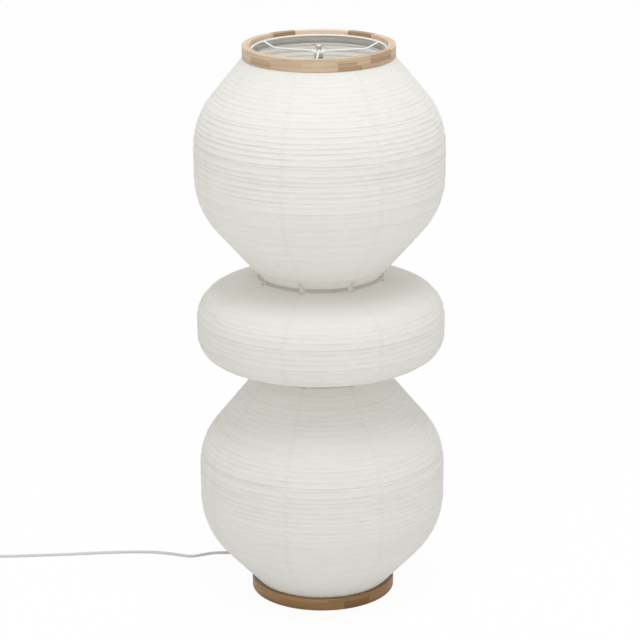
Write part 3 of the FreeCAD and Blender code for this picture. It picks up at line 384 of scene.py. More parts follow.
# %% Give the construction's own parts their finishes
for row in frame["record"]["subparts"]:
    if row["material_slot"] in FINISHES:
        data = NODES[row["node"]].data
        data.materials.clear()
        data.materials.append(FINISHES[row["material_slot"]])
for cord in (cord_to_switch, cord_to_plug):
    cord.data.materials.append(FINISHES["cord_sheath"])

# %% [markdown]
# ## The paper's outline
# A lantern section is a surface of revolution: its outline is three straight runs joined by two arcs, and at
# its ends the paper turns in round a wire or inside a wooden ring. Bamboo hoops hold it from inside at an
# even pitch, and between two hoops the paper sags a little. So the outline is kept as a table of rows from
# hoop to hoop, each with its radius, height, the way the paper faces there, and how far it may sag.

# %% Sizes of the paper, in millimetres
SEAMS, SEAM_AZIMUTH = 8, math.radians(-107)
PAPER_WALL, RIB_INSET = 0.8, 0.9
RIB_PITCH, RIB_WANDER, RIB_BEATS = 8.2, 0.16, (2.7, 4.3)
SECTION_R, NECK_R, NECK_CUFF = 200.0, 100.0, 2.5
UPPER_NECK_Z, LOWER_NECK_Z = 540.5, 381.0
NECK_EDGE = 0.2
ABOVE_UPPER_NECK, BELOW_UPPER_NECK, ABOVE_LOWER_NECK, BELOW_LOWER_NECK = 49, 17.5, 17, 51  # slopes in degrees
TOP_SHOULDER, TOP_COLLAR_R, TOP_COLLAR_Z = (120.2, 894.7), 108.7, 909.0
BASE_FLARE, BASE_COLLAR_R, BASE_COLLAR_Z = (110.2, 20.3), 106.2, 14.9


def cone_corner(neck, slope, up):
    """Where a cone from a neck point meets the section's widest cylinder."""
    radius, height = neck
    return SECTION_R, height + up * (SECTION_R - radius) * math.tan(math.radians(slope))


def section(low, low_slope, low_bend, high, high_slope, high_bend):
    """Corners of (radius, height, bend radius), from the lower neck or ring up to the upper one."""
    return [(*low, 0.0), (*cone_corner(low, low_slope, 1), low_bend),
            (*cone_corner(high, high_slope, -1), high_bend), (*high, 0.0)]


# each section: its outline, the points below and above it, and how deep its folds are from end to end
SECTIONS = {
    "upper_globe": (
        section((NECK_R, UPPER_NECK_Z + NECK_CUFF), ABOVE_UPPER_NECK, 128, TOP_SHOULDER, 51, 127),
        [(NECK_R, UPPER_NECK_Z + NECK_EDGE)],
        [(TOP_COLLAR_R, TOP_SHOULDER[1]), (TOP_COLLAR_R, TOP_COLLAR_Z)],
        [(0, 0.35), (0.25, 0.5), (0.45, 0.55), (0.6, 1.0), (0.72, 1.1), (0.84, 0.75), (0.95, 0.3), (1, 0.1)],
    ),
    "disc": (
        section((NECK_R, LOWER_NECK_Z + NECK_CUFF), ABOVE_LOWER_NECK, 39,
                (NECK_R, UPPER_NECK_Z - NECK_CUFF), BELOW_UPPER_NECK, 50),
        [(NECK_R, LOWER_NECK_Z + NECK_EDGE)],
        [(NECK_R, UPPER_NECK_Z - NECK_EDGE)],
        [(0, 0.1), (0.25, 0.25), (0.34, 0.8), (0.5, 0.7), (0.6, 1.15), (0.7, 0.6), (0.8, 0.12), (1, 0.05)],
    ),
    "lower_globe": (
        section(BASE_FLARE, 47.3, 128, (NECK_R, LOWER_NECK_Z - NECK_CUFF), BELOW_LOWER_NECK, 105),
        [(BASE_COLLAR_R, BASE_COLLAR_Z), (BASE_COLLAR_R, BASE_FLARE[1])],
        [(NECK_R, LOWER_NECK_Z - NECK_EDGE)],
        [(0, 0.05), (0.12, 0.1), (0.22, 0.8), (0.42, 0.55), (0.58, 1.1), (0.7, 1.1), (0.82, 0.6), (1, 0.3)],
    ),
}
print("sections:", ", ".join(SECTIONS))

# %% From corners to a smooth line
ARC_STEPS = 40


def smooth_line(corners):
    """The outline as (run along the hoops, radius, height, facing) samples, its corners rounded."""
    points = [Vector(c[:2]) for c in corners]
    line, run = [], 0.0

    def add(place, step, way):
        nonlocal run
        run += step
        line.append((run, *place, way.y, -way.x))

    last = points[0]
    ways = [(b - a).normalized() for a, b in zip(points, points[1:])]
    add(last, 0.0, ways[0])
    for corner, bend, before, after in zip(points[1:], [c[2] for c in corners[1:]], ways, ways[1:]):
        turn = before.angle_signed(after)
        cut = bend * math.tan(abs(turn) / 2)
        start = corner - before * cut
        add(start, (start - last).length, before)
        middle = start + Vector((-before.y, before.x)) * bend
        for k in range(1, ARC_STEPS + 1):
            way = Matrix.Rotation(-turn * k / ARC_STEPS, 2) @ before
            spot = middle - Vector((-way.y, way.x)) * bend
            add(spot, abs(turn) / ARC_STEPS * (bend - RIB_INSET), way)
        last = spot
    add(points[-1], (points[-1] - last).length, ways[-1])
    return line


def at_run(line, run):
    """Radius, height and facing at a run."""
    for a, b in zip(line, line[1:]):
        if run <= b[0] + 1e-9:
            share = (run - a[0]) / max(b[0] - a[0], 1e-9)
            return [x + (y - x) * share for x, y in zip(a[1:], b[1:])]
    return list(line[-1][1:])


def between(stops, place):
    """A value from a list of (place, value) stops."""
    for (a, low), (b, high) in zip(stops, stops[1:]):
        if place <= b:
            return low + (high - low) * (place - a) / (b - a)
    return stops[-1][1]


print("upper globe's line:", round(smooth_line(SECTIONS["upper_globe"][0])[-1][0]), "mm along its hoops")

# %% The table of rows
STATIONS = (0.0, 0.1, 0.36, 0.64, 0.9)
INNER_ROWS = 12
SAG_POWER = 4
COLLAR = (1.0, 0.0, 0.0, 0.0, 0.0, 0.0)  # faces out, without a fold
FIELDS = ("radius", "height", "face_out", "face_up", "sag", "ridge", "loose", "gap", "inner")


def paper_rows(corners, below, above, folds):
    """Rows from the lower edge up the outer face, and back down the inner face to the start."""
    line = smooth_line(corners)
    total = line[-1][0]
    count = int(total / RIB_PITCH) - 1
    pitch = total / (count + 1)
    hoops = [0.0]
    for i in range(1, count + 1):
        hoops.append(pitch * (i + RIB_WANDER * sum(math.sin(beat * (i + 1)) for beat in RIB_BEATS)))
    hoops.append(total)
    rows = [(r, z, *COLLAR) for r, z in below]
    for gap, (low, high) in enumerate(zip(hoops, hoops[1:])):
        for part in STATIONS:
            run = low + (high - low) * part
            depth = between(folds, run / total)
            sag = (1 - abs(2 * part - 1) ** SAG_POWER) * depth
            ridge = depth if part == 0.0 and gap else 0.0
            rows.append((*at_run(line, run), sag, ridge, 0.0 if gap == 0 and part == 0.0 else 1.0, gap))
    rows.append((*at_run(line, total), 0.0, 0.0, 0.0, 0.0))
    rows += [(r, z, *COLLAR) for r, z in above]
    inner = [(r - PAPER_WALL, z, *COLLAR) for r, z in reversed(above)]
    for k in range(INNER_ROWS, -1, -1):
        r, z, out, up = at_run(line, total * k / INNER_ROWS)
        inner.append((r - PAPER_WALL * out, z - PAPER_WALL * up, out, up, 0.0, 0.0, 0.0, 0.0))
    inner += [(r - PAPER_WALL, z, *COLLAR) for r, z in reversed(below)]
    return [(*row, 0.0) for row in rows] + [(*row, 1.0) for row in inner] + [(*rows[0], 0.0)]


def profile_object(name, rows):
    """A line of points that carries the table as attributes."""
    mesh = bpy.data.meshes.new(name)
    mesh.from_pydata([(row[0] * MM, 0, row[1] * MM) for row in rows],
                     [(k, k + 1) for k in range(len(rows) - 1)], [])
    for column, field in enumerate(FIELDS):
        scale = MM if field in ("radius", "height") else 1.0
        values = mesh.attributes.new(field, "FLOAT", "POINT")
        values.data.foreach_set("value", [row[column] * scale for row in rows])
    return put(name, mesh)


print("fields of a row:", ", ".join(FIELDS))

# %% [markdown]
# ## Paper
# Lantern paper is glued to its hoops in eight strips. Each strip laps the next at a seam, where the paper
# puckers in short creases. Geometry Nodes wrap a grid of rows and columns round the axis: a row takes its
# radius, height and sag from the table, and noise makes each fold uneven on its way round. The columns crowd
# together at the seams, where the creases need them.

# %% Turn a modifier's tree into a plain piece


def new_tree(name, inputs):
    """An empty Geometry Nodes tree with named inputs of (type, value), and its group's end nodes."""
    group = bpy.data.node_groups.new(name, "GeometryNodeTree")
    group.interface.new_socket("Geometry", in_out="INPUT", socket_type="NodeSocketGeometry")
    group.interface.new_socket("Geometry", in_out="OUTPUT", socket_type="NodeSocketGeometry")
    for label, (kind, value) in inputs.items():
        made = group.interface.new_socket(label, in_out="INPUT", socket_type="NodeSocket" + kind)
        if value is not None:
            made.default_value = value
    tree = Tree(group)
    entry, leave = group.nodes.new("NodeGroupInput"), group.nodes.new("NodeGroupOutput")
    given = {out.name: Wire(tree, out) for out in entry.outputs if out.name}
    return tree, given, leave


def finish_tree(tree, given, leave, shape):
    """Every tree ends the same way: real geometry, then its material."""
    real = tree.node("GeometryNodeRealizeInstances", sockets={0: shape})
    dressed = tree.node("GeometryNodeSetMaterial", sockets={"Geometry": real, "Material": given["Material"]})
    tree.plug(leave.inputs[0], dressed)


def run_tree(tree, seed_piece, name, values):
    """Run a tree on an object with its inputs set, and keep the result as a plain piece."""
    modifier = seed_piece.modifiers.new(name, "NODES")
    modifier.node_group = tree.tree
    for item in tree.tree.interface.items_tree:
        if item.in_out == "INPUT" and item.name in values:
            modifier[item.identifier] = values[item.name]
    ready = seed_piece.evaluated_get(bpy.context.evaluated_depsgraph_get())
    mesh = bpy.data.meshes.new_from_object(ready)
    mesh.name = name
    seed_piece.modifiers.remove(modifier)
    bpy.data.objects.remove(seed_piece)
    return put(name, mesh)


def volume_of(piece):
    """A mesh's volume, and how many of its edges are open."""
    shape = bmesh.new()
    shape.from_mesh(piece.data)
    volume = shape.calc_volume(signed=True)
    open_edges = sum(not edge.is_manifold for edge in shape.edges)
    shape.free()
    return volume, open_edges


print("tree helpers ready")

# %% How unevenly the paper folds
SEAM_WIDTH = 8  # millimetres
FOLD_AROUND, FOLD_LEVEL, FOLD_SWING, FOLD_MEAN, FOLD_RANGE = 8.5, 7.31, 3.5, 0.8, (0.04, 1.8)
DRIFT_AROUND, DRIFT_LEVEL = 1.8, 0.61
JUMP_AROUND, JUMP_LEVEL, JUMP = 40.0, 3.7, 1.6
SKIN_AROUND, SKIN_UP = 70, 190  # cells a metre
CREASE_AROUND, CREASE_UP = 150, 130
CREASE_WITH_FOLD = 0.7
SAME_POINT = 0.00002
print("folds wander within", FOLD_RANGE, "of their depth")

# %% The paper's tree
paper_tree, given, leave = new_tree("pleated_paper", {
    "Columns": ("Int", 368), "Sag": ("Float", 0.0006), "Ridge": ("Float", 0.00045),
    "Crinkle": ("Float", 0.0002), "Pucker": ("Float", 0.0028), "Drift": ("Float", 0.0009),
    "Floor": ("Float", -0.00066),
    "Seams": ("Float", float(SEAMS)), "Seam azimuth": ("Float", SEAM_AZIMUTH),
    "Crowding": ("Float", 0.5), "Seed": ("Float", 0.0), "Material": ("Material", None),
})
size = paper_tree.node("GeometryNodeAttributeDomainSize", sockets={"Geometry": given["Geometry"]})
columns = given["Columns"]
grid = paper_tree.node("GeometryNodeMeshGrid", sockets={
    "Size X": columns * 1.0, "Size Y": size - 1, "Vertices X": columns + 1, "Vertices Y": size,
})
across, along, _ = paper_tree.apart(paper_tree.node("GeometryNodeInputPosition"))
turn = (across / columns + 0.5) * (2 * math.pi)
phase = given["Seams"] * turn
azimuth = turn - given["Crowding"] * phase.math("SINE", phase) / given["Seams"] + given["Seam azimuth"]
row_number = (along + (size - 1) / 2 + 0.5).math("FLOOR", along + (size - 1) / 2 + 0.5)
row = {}
for field in FIELDS:
    row[field] = paper_tree.node("GeometryNodeSampleIndex", {"data_type": "FLOAT", "domain": "POINT"}, {
        "Geometry": given["Geometry"], "Value": paper_tree.named(field), "Index": row_number,
    })

cosine, sine = azimuth.math("COSINE", azimuth), azimuth.math("SINE", azimuth)
from_seam = abs(azimuth.math("SINE", (azimuth - given["Seam azimuth"]) * given["Seams"] * 0.5))
seam_mm = from_seam * row["radius"] / MM * 2 / given["Seams"]
at_seam = 1 / ((seam_mm / SEAM_WIDTH) * (seam_mm / SEAM_WIDTH) + 1) ** 2


def round_noise(around, level):
    """Noise on a circle, so that it meets itself, and new at each fold."""
    where = paper_tree.combine(cosine * around, sine * around, row["gap"] * level + given["Seed"])
    return paper_tree.noise(where, 1.0)


def sheet_noise(around, up, detail):
    """Noise over the sheet, with cells of one size round it and another up it."""
    radius = row["radius"] * around
    where = paper_tree.combine(cosine * radius, sine * radius, row["height"] * up)
    return paper_tree.noise(where, 1.0, detail)


fold = round_noise(FOLD_AROUND, FOLD_LEVEL) * FOLD_SWING + FOLD_MEAN
uneven = paper_tree.least(paper_tree.most(fold, FOLD_RANGE[0]), FOLD_RANGE[1])
jump = round_noise(JUMP_AROUND, JUMP_LEVEL) * at_seam * JUMP
height_shift = given["Drift"] * (round_noise(DRIFT_AROUND, DRIFT_LEVEL) + jump)
crinkle = given["Crinkle"] * sheet_noise(SKIN_AROUND, SKIN_UP, 3.0)
pucker = given["Pucker"] * at_seam * sheet_noise(CREASE_AROUND, CREASE_UP, 2.0)
rise = (
    given["Ridge"] * row["ridge"]
    - given["Sag"] * row["sag"] * uneven
    + row["loose"] * (crinkle + pucker * (row["sag"] * CREASE_WITH_FOLD + (1 - CREASE_WITH_FOLD)))
)
shift = row["loose"] * height_shift
rise = paper_tree.most(rise, given["Floor"])
radius = row["radius"] + rise * row["face_out"] - shift * row["face_up"]
height = row["height"] + rise * row["face_up"] + shift * row["face_out"]
position = paper_tree.combine(cosine * radius, sine * radius, height)
marked = paper_tree.store(grid, "FLOAT", "inner", row["inner"])
wrapped = paper_tree.node("GeometryNodeSetPosition", sockets={"Geometry": marked, "Position": position})
joined = paper_tree.node("GeometryNodeMergeByDistance", sockets={"Geometry": wrapped, "Distance": SAME_POINT})
turned = paper_tree.node("GeometryNodeFlipFaces", sockets={"Mesh": joined})
smooth = paper_tree.node("GeometryNodeSetShadeSmooth", sockets={"Geometry": turned, "Shade Smooth": True})
finish_tree(paper_tree, given, leave, smooth)
print("paper tree:", len(paper_tree.tree.nodes), "nodes")

# %% [markdown]
# ## The paper's finish
# Mulberry paper is a warm white with long fibres in it. Where two strips lap it is painted a little darker, as
# painted shade of the light that the double layer holds back. Over each neck two brown lines are painted:
# partly the wire rings showing through the paper, partly painted shade in the creases where the cones meet
# the cuff. The inside face is painted whiter than the outside, as painted light in the lantern's hollow. Light
# comes through the paper too, so a part of what it scatters leaves on the far side: a Translucent shader mixed
# into the plain one does that.

# %% Mulberry paper
LAP_HALF, LAP_SHADE = 4.5, 0.14
WIRE_OFF, WIRE_HALF, WIRE_AND_CREASE_SHADE = 2.3, 0.8, 0.42
WIRE_REACH = (NECK_R + 2.2) * MM
THROUGH_OUTER, THROUGH_INNER = 0.45, 0.92
paper = Finish("mulberry_paper", Roughness=0.85, Specular_IOR_Level=0.25)
where = paper.place()
x, y, z = paper.apart(where)
fibres = paper.noise(paper.stretched(where, 1, 1, 2.2), 90, 4.0, 0.6)
clouds = paper.noise(where, 9, 2.0)
sheet_tone = paper.mix(linear(251, 250, 247), linear(247, 245, 241), fibres * 0.35 + clouds * 0.3 + 0.4)
angle = y.math("ARCTAN2", y, x)
lap_mm = abs(angle.math("SINE", (angle - SEAM_AZIMUTH) * (SEAMS / 2))) * (SECTION_R * 2 / SEAMS)
# painted shade: the paper is made darker where two strips lap, for the light that the double layer holds back
lapped = paper.mix(sheet_tone, linear(238, 235, 229), (lap_mm < LAP_HALF) * LAP_SHADE)
far_out = y.math("SQRT", x * x + y * y)
# two brown lines at each neck: partly the wire rings showing through, partly painted shade in the creases where the
# cones meet the cuff
wire_and_crease_shade = 0
for neck in (UPPER_NECK_Z, LOWER_NECK_Z):
    for side in (-1, 1):
        off = abs(z / MM - (neck + side * WIRE_OFF)) / WIRE_HALF
        wire_and_crease_shade = wire_and_crease_shade + 1 / (off ** 4 + 1)
wire_and_crease_shade = wire_and_crease_shade * (far_out < WIRE_REACH)
paper_tone_with_painted_light = paper.mix(lapped, linear(178, 158, 142), wire_and_crease_shade * WIRE_AND_CREASE_SHADE)
inside = paper.attribute("inner")
# painted light: the inside face is painted whiter than the outside, to brighten the lantern's hollow
paper_tone_with_painted_light = paper.mix(paper_tone_with_painted_light, linear(255, 255, 254), inside)
paper.colour(paper_tone_with_painted_light)
paper.rough(fibres * 0.08 + 0.84)
paper.bump(fibres * 0.6 + paper.noise(where, 420, 3.0) * 0.4, 0.12 * MM, 0.8)
glow = paper.node("ShaderNodeBsdfTranslucent", sockets={"Color": paper_tone_with_painted_light})
both = paper.node("ShaderNodeMixShader", sockets={
    0: inside * (THROUGH_INNER - THROUGH_OUTER) + THROUGH_OUTER, 1: Wire(paper, paper.surface.outputs[0]), 2: glow,
})
paper.plug(paper.end.inputs["Surface"], both)
print("paper material:", len(paper.tree.nodes), "nodes")

# %% Three skins
SKIN_POINTS, MOST_COLUMNS, SKIN_SEED = 97000, 400, 11.0
for seed, (name, (corners, below, above, folds)) in enumerate(SECTIONS.items()):
    rows = paper_rows(corners, below, above, folds)
    fit = int(SKIN_POINTS / len(rows))
    skin = run_tree(paper_tree, profile_object(name + "_profile", rows), name + "_skin", {
        "Columns": min(fit - fit % SEAMS, MOST_COLUMNS), "Seed": SKIN_SEED * seed, "Material": paper.material,
    })
    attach(skin, "shade")
    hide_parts(name + "_paper")
    volume, open_edges = volume_of(skin)
    print(skin.name, len(rows), "rows,", len(skin.data.polygons), "faces, volume",
          round(volume * 1e6, 1), "cm3,", open_edges, "open edges")

# %% [markdown]
# ## Wooden rings
# Each ring is glued up from short blocks in three courses with staggered joints, then turned round and
# sanded, so a joint shows only as a change of tone and a hairline. One unit block is repeated for all of
# them: its place along, across and up the block becomes an angle, a radius and a height in the ring.

# %% The blocks' tree
COURSE_FILL = 0.992  # the rest of a course is its glue line
TONE_SHIFT = 3.1  # so that two blocks don't share one grain
BLOCK_CUTS = (13, 13, 9)
HARDLY, SAME_CORNER = 0.000001, 0.000005
block_tree, given, leave = new_tree("block_ring", {
    "Mean radius": ("Float", 0.115), "Wall": ("Float", 0.012), "Foot": ("Float", 0.0), "Height": ("Float", 0.02),
    "Edge": ("Float", 0.0009), "Courses": ("Float", 3.0), "Joint": ("Float", 0.00004),
    "Material": ("Material", None),
})
block = block_tree.node("GeometryNodeMeshCube", sockets={
    "Size": (1, 1, 1), "Vertices X": BLOCK_CUTS[0], "Vertices Y": BLOCK_CUTS[1], "Vertices Z": BLOCK_CUTS[2],
})
placed = block_tree.node("GeometryNodeInstanceOnPoints", sockets={"Points": given["Geometry"], "Instance": block})
real = block_tree.node("GeometryNodeRealizeInstances", sockets={0: placed})
start, span, course, tone = (block_tree.named(field) for field in ("start", "span", "course", "tone"))
along, across, up = block_tree.apart(block_tree.node("GeometryNodeInputPosition"))
joint = given["Joint"] / given["Mean radius"]
angle = start + (along + 0.5) * (span - joint) + joint * 0.5
side = across * given["Wall"]
level = (course + 0.5 + up * COURSE_FILL) / given["Courses"] * given["Height"] - given["Height"] * 0.5


def past_edge(value, size):
    """How far a point stands past the start of the ring's rounded edge."""
    limit = size * 0.5 - given["Edge"]
    return abs(value), block_tree.most(abs(value) - limit, 0.0), limit


side_size, side_over, side_limit = past_edge(side, given["Wall"])
level_size, level_over, level_limit = past_edge(level, given["Height"])
reach = side.math("SQRT", side_over * side_over + level_over * level_over)
pull = block_tree.least(given["Edge"] / block_tree.most(reach, HARDLY), 1.0)
round_side = side.math("SIGN", side) * (block_tree.least(side_size, side_limit) + side_over * pull)
round_level = level.math("SIGN", level) * (block_tree.least(level_size, level_limit) + level_over * pull)
ring_r = given["Mean radius"] + round_side
position = block_tree.combine(
    angle.math("COSINE", angle) * ring_r, angle.math("SINE", angle) * ring_r,
    given["Foot"] + given["Height"] * 0.5 + round_level,
)
grain_at = block_tree.combine(
    (along + 0.5) * span * given["Mean radius"], round_side, round_level + tone * TONE_SHIFT
)
kept = block_tree.store(real, "FLOAT_VECTOR", "grain", grain_at)
bent = block_tree.node("GeometryNodeSetPosition", sockets={"Geometry": kept, "Position": position})
joined = block_tree.node("GeometryNodeMergeByDistance", sockets={"Geometry": bent, "Distance": SAME_CORNER})
finish_tree(block_tree, given, leave, joined)
print("block tree:", len(block_tree.tree.nodes), "nodes")

# %% Wood in two tones, the base ring's darker as painted shade


def wood(name, light, mid, dark):
    """Fine streaks along each block, over a tone that changes from block to block."""
    finish = Finish(name, Specular_IOR_Level=0.4)
    grain, tone = finish.attribute("grain", "Vector"), finish.attribute("tone")
    streaks = finish.noise(finish.stretched(grain, 14, 260, 420), 1.0, 4.0, 0.6)
    figure = finish.noise(finish.stretched(grain, 9, 70, 150), 1.0, 2.0)
    pores = finish.noise(finish.stretched(grain, 120, 1800, 2600), 1.0, 1.0)
    shade = finish.mix(linear(*light), linear(*mid), finish.least(tone, 1.0))
    shade = finish.mix(shade, linear(*dark), finish.most(streaks * 0.55 + figure * 0.4 + tone * 0.5 - 0.1, 0.0))
    finish.colour(shade)
    finish.rough(streaks * 0.1 + 0.5)
    finish.bump(pores * 0.5 + streaks, 0.06 * MM, 0.6)
    return finish.material


WOODS = {
    "top_wood_ring": wood("pale_wood", (224, 203, 176), (178, 147, 116), (134, 102, 74)),
    # painted shade: the base ring's wood is painted darker and browner than the top ring's, for the lesser light
    # near the floor
    "base_wood_ring": wood("base_wood", (164, 127, 85), (134, 99, 61), (92, 65, 38)),
}
print("woods:", ", ".join(WOODS))

# %% Blocks of each ring: joints in degrees from the front, course by course, each with its tone
COURSES = {
    "top_wood_ring": [
        [(-95, 0.55), (-61, 0.75), (-38, 0.5), (14, 0.95), (33, 0.6), (62, 0.65), (101, 0.6), (139, 0.4), (187, 0.7),
         (228, 0.4)],
        [(-90, 0.4), (-61, 0.7), (-38, 0.6), (-12, 0.5), (14, 0.85), (29, 0.6), (41, 0.95), (68, 0.5), (88, 0.4),
         (131, 0.6), (176, 0.2), (214, 0.8), (247, 0.4)],
        [(-102, 0.3), (-71, 0.45), (-38, 0.4), (12, 0.5), (41, 0.7), (68, 0.4), (112, 0.3), (130, 1.0), (154.5, 0.0),
         (200, 0.95), (222, 0.3)],
    ],
    "base_wood_ring": [
        [(-98, 0.4), (-62, 0.6), (-14, 0.5), (17, 1.2), (40, 0.6), (83, 0.4), (127, 0.8), (171, 0.3), (217, 0.6)],
        [(-84, 0.3), (-37, 0.55), (17, 1.1), (40, 0.55), (94, 0.3), (141, 0.6), (183, 0.2), (229, 0.7)],
        [(-106, 0.35), (-51, 0.25), (4, 0.4), (38, 0.5), (77, 0.9), (119, 0.3), (158, 0.5), (203, 0.4)],
    ],
}
RINGS = {"top_wood_ring": (12 * MM, "pale_wood"), "base_wood_ring": (11 * MM, "base_wood")}
for name, courses in COURSES.items():
    low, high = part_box(name)
    blocks = []
    for course, joints in enumerate(courses):
        for (start, tone), (end, _) in zip(joints, joints[1:] + [(joints[0][0] + 360, 0)]):
            blocks.append((math.radians(start - 90), math.radians(end - start), course, tone))
    mesh = bpy.data.meshes.new(name + "_blocks")
    mesh.from_pydata([(0, 0, 0)] * len(blocks), [], [])
    for column, field in enumerate(("start", "span", "course", "tone")):
        mesh.attributes.new(field, "FLOAT", "POINT").data.foreach_set("value", [b[column] for b in blocks])
    wall, wood_slot = RINGS[name]
    ring = run_tree(block_tree, put(name + "_blocks", mesh), name + "_blocks", {
        "Mean radius": high.x - wall / 2, "Wall": wall, "Foot": low.z, "Material": WOODS[name],
    })
    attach(ring, "shade")
    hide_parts(name)
    volume, open_edges = volume_of(ring)
    print(ring.name, len(blocks), "blocks, volume", round(volume * 1e6, 1), "cm3,", open_edges, "open edges")

# %% [markdown]
# ## Tabs over the necks
# Where two sections meet, a small paper tab at each seam is glued over the two neck wire rings. Its paper is
# a darker, browner beige than the sheets. One tab is shaped from the two slopes that it covers, and Geometry
# Nodes set eight of them round.

# %% One tab, and the tree that repeats it
TAB_ROWS = ((15.0, 3.4), (10.0, 3.7), (5.0, 4.0), (2.6, 4.3), (0.9, 4.4), (-0.9, 4.6), (-2.6, 5.0), (-4.4, 5.6))
TAB_LIFT, TAB_SHEET = 0.15, 0.15
TAB_ACROSS = (-1, -0.4, 0.4, 1)


def tab_object(name, neck_z, above, below, width):
    """A closed strip down the two slopes of a neck: rows of a height from the neck and half a width."""
    rows = []
    for up, half in TAB_ROWS:
        slope = math.tan(math.radians(above if up > 0 else below))
        reach = max(abs(up) - NECK_CUFF, 0) / slope
        rows.append((NECK_R + TAB_LIFT + reach, neck_z + up, half * width))
    shape = bmesh.new()
    sheets = []
    for lift in (0.0, TAB_SHEET):
        for r, z, half in rows:
            sheets.append([shape.verts.new(((r + lift) * MM, half * side * MM, z * MM)) for side in TAB_ACROSS])
    count = len(rows)
    for k in range(count - 1):
        for layer, flip in ((0, False), (count, True)):
            low, high = sheets[layer + k], sheets[layer + k + 1]
            for a in range(3):
                corners = (low[a], low[a + 1], high[a + 1], high[a])
                shape.faces.new(corners[::-1] if flip else corners)
        for a in (0, 3):
            shape.faces.new((sheets[k][a], sheets[k + 1][a], sheets[count + k + 1][a], sheets[count + k][a]))
    for k in (0, count - 1):
        for a in range(3):
            shape.faces.new((sheets[k][a], sheets[k][a + 1], sheets[count + k][a + 1], sheets[count + k][a]))
    bmesh.ops.recalc_face_normals(shape, faces=shape.faces)
    return put(name, mesh_of(name, shape))


round_tree, given, leave = new_tree("set_round", {
    "Count": ("Int", SEAMS), "Azimuth": ("Float", SEAM_AZIMUTH), "Material": ("Material", None),
})
spots = round_tree.node("GeometryNodePoints", sockets={"Count": given["Count"]})
number = round_tree.node("GeometryNodeInputIndex")
turn = round_tree.combine(z=number / given["Count"] * 2 * math.pi + given["Azimuth"])
placed = round_tree.node("GeometryNodeInstanceOnPoints", sockets={
    "Points": spots, "Instance": given["Geometry"], "Rotation": turn,
})
finish_tree(round_tree, given, leave, placed)

tab_paper = Finish("tab_paper", Roughness=0.8, Specular_IOR_Level=0.2)
where = tab_paper.place()
fibres = tab_paper.noise(tab_paper.stretched(where, 1, 1, 2.2), 90, 4.0)
# the tabs are a darker, browner beige than the sheets
tab_paper.colour(tab_paper.mix(linear(230, 222, 214), linear(214, 203, 193), fibres * 0.5 + 0.5))
tab_paper.bump(fibres, 0.15 * MM)
TABS = {
    "upper": (UPPER_NECK_Z, ABOVE_UPPER_NECK, BELOW_UPPER_NECK, 1.0),
    "lower": (LOWER_NECK_Z, ABOVE_LOWER_NECK, BELOW_LOWER_NECK, 0.7),
}
for name, how in TABS.items():
    tabs = run_tree(round_tree, tab_object(name + "_tab", *how), name + "_neck_tabs", {
        "Material": tab_paper.material,
    })
    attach(tabs, "shade")
    print(tabs.name, "volume and open edges", volume_of(tabs))

# %% [markdown]
# ## Moulded parts of the cord
# The hand switch, the plug and the strap are moulded, so their edges are round. A copy of each construction
# part has its loose triangles merged and its flat faces joined, and a Bevel modifier rounds its edges.

# %% Round the edges of a copy


def soften(node, body, width, slot):
    """A copy of a construction part with rounded edges, which stands for it."""
    shape = bmesh.new()
    shape.from_mesh(NODES[node].data)
    bmesh.ops.remove_doubles(shape, verts=shape.verts, dist=0.00001)
    bmesh.ops.dissolve_limit(shape, angle_limit=math.radians(1), verts=shape.verts, edges=shape.edges)
    mesh = mesh_of(node + "_moulded", shape)
    mesh.materials.clear()
    mesh.materials.append(FINISHES[slot])
    mesh.shade_smooth()
    piece = put(node + "_moulded", mesh)
    bevel = piece.modifiers.new("edges", "BEVEL")
    bevel.width, bevel.segments, bevel.limit_method = width * MM, 3, "ANGLE"
    bevel.angle_limit, bevel.harden_normals = math.radians(30), True
    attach(piece, body)
    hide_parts(node)
    return piece


MOULDED = {
    "switch_base": ("stand", 1.0, "white_plastic"), "switch_cover": ("stand", 1.6, "white_plastic"),
    "switch_rocker": ("rocker", 0.5, "white_plastic"), "plug_body": ("stand", 1.8, "plug_white"),
    "coil_tie": ("stand", 0.3, "tie_strap"),
}
moulded = {node: soften(node, *how) for node, how in MOULDED.items()}
print("moulded parts:", len(moulded))

# %% [markdown]
# ## Strain relief
# Where the cord leaves the base, a tapered rubber sleeve keeps it from kinking. It is turned about the
# cord's own line, with shallow grooves that let it bend.

# %% The sleeve's rings
SLEEVE_START, SLEEVE_LENGTH = 100.4, 29.6
SLEEVE_R, SLEEVE_TIP_R = 4.2, 3.3
SLEEVE_GROOVES, SLEEVE_AROUND = 6, 40
GROOVE_DEPTH, GROOVE_STEPS = 0.45, 8
EXIT_Z = 9.55
sleeve_way = Vector((-1, 1, 0)).normalized()
sleeve_side = Vector((-1, -1, 0)).normalized()
rings = []
for k in range(SLEEVE_GROOVES * GROOVE_STEPS + 1):
    along = k / (SLEEVE_GROOVES * GROOVE_STEPS)
    wave = math.cos(2 * math.pi * (along * SLEEVE_GROOVES - 0.5))
    groove = GROOVE_DEPTH * max(0.0, wave) if 0.1 < along < 0.95 else 0.0
    rings.append((along * SLEEVE_LENGTH, SLEEVE_R + (SLEEVE_TIP_R - SLEEVE_R) * along - groove))
rings = [(0.0, 0.0)] + rings + [(SLEEVE_LENGTH, 0.0)]
shape = bmesh.new()
loops = []
for reach, ring_r in rings:
    middle = sleeve_way * (SLEEVE_START + reach) + Vector((0, 0, EXIT_Z))
    steps = [2 * math.pi * a / SLEEVE_AROUND for a in range(SLEEVE_AROUND)] if ring_r else [0.0]
    loops.append([
        shape.verts.new((middle + (sleeve_side * math.cos(a) + Vector((0, 0, 1)) * math.sin(a)) * ring_r) * MM)
        for a in steps
    ])
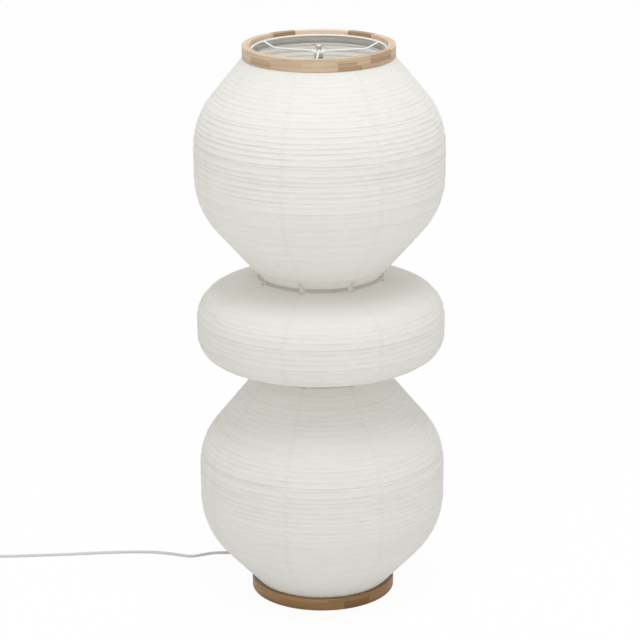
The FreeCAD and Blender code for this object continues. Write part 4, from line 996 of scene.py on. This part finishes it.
for low, high in zip(loops, loops[1:]):
    for a in range(SLEEVE_AROUND):
        b = (a + 1) % SLEEVE_AROUND
        corners = (low[a % len(low)], low[b % len(low)], high[b % len(high)], high[a % len(high)])
        shape.faces.new(tuple(dict.fromkeys(corners)))
bmesh.ops.recalc_face_normals(shape, faces=shape.faces)
mesh = mesh_of("cord_sleeve", shape)
mesh.materials.append(FINISHES["cord_sheath"])
mesh.shade_smooth()
sleeve = put("cord_sleeve", mesh)
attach(sleeve, "stand")
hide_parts("cord_gland")
print("sleeve volume and open edges", volume_of(sleeve))

# %% [markdown]
# ## Floor and light
# The picture is a cut-out on white. The floor looks white to the camera, to glossy rays and through glass,
# but it still takes a little of the lamp's shadow. A wide soft lamp high above the front lights the tops of
# the sections, and a pale surround fills the rest.

# %% Floor
FLOOR_SIZE, FLOOR_WHITE = 30.0, 0.94
floor_mesh = bpy.data.meshes.new("floor")
floor_mesh.from_pydata(
    [(x * FLOOR_SIZE, y * FLOOR_SIZE, 0) for x, y in ((-1, -1), (1, -1), (1, 1), (-1, 1))], [], [(0, 1, 2, 3)]
)
floor = put("floor", floor_mesh)
floor_paint = Finish("floor_white", Base_Color=(0.92, 0.92, 0.92, 1), Roughness=0.9)
white = floor_paint.node("ShaderNodeEmission", sockets={"Color": (1, 1, 1, 1), "Strength": 1.0})
blend = floor_paint.node("ShaderNodeMixShader", sockets={
    0: floor_paint.seen() * FLOOR_WHITE, 1: Wire(floor_paint, floor_paint.surface.outputs[0]), 2: white,
})
floor_paint.plug(floor_paint.end.inputs["Surface"], blend)
floor_mesh.materials.append(floor_paint.material)
print("floor laid")

# %% Surround and lamps
SURROUND = 0.8
world = bpy.data.worlds.new("surround")
world.use_nodes = True
bpy.context.scene.world = world
sky = Tree(world.node_tree)
backdrop = world.node_tree.nodes["Background"]
backdrop.inputs["Color"].default_value = (1.0, 1.0, 1.0, 1)
sky.plug(backdrop.inputs["Strength"], sky.seen() * (1 - SURROUND) + SURROUND)


def soft_lamp(name, place, aim, width, watts, colour=(1, 1, 1)):
    """A round area lamp that points at a spot."""
    data = bpy.data.lights.new(name, "AREA")
    data.shape, data.size, data.energy, data.color = "DISK", width, watts, colour
    lamp = put(name, data)
    way = Vector(aim) - Vector(place)
    lamp.matrix_world = Matrix.Translation(place) @ way.to_track_quat("-Z", "Y").to_matrix().to_4x4()


soft_lamp("overhead", (0.15, -1.1, 3.6), (0, 0, 0.5), 1.6, 44, (0.94, 0.97, 1.0))
soft_lamp("low_fill", (0, -4.2, 0.5), (0, 0, 0.45), 2.4, 12)
bpy.context.scene.view_settings.view_transform = "Standard"
print("lamps ready")

bpy.context.view_layer.update()
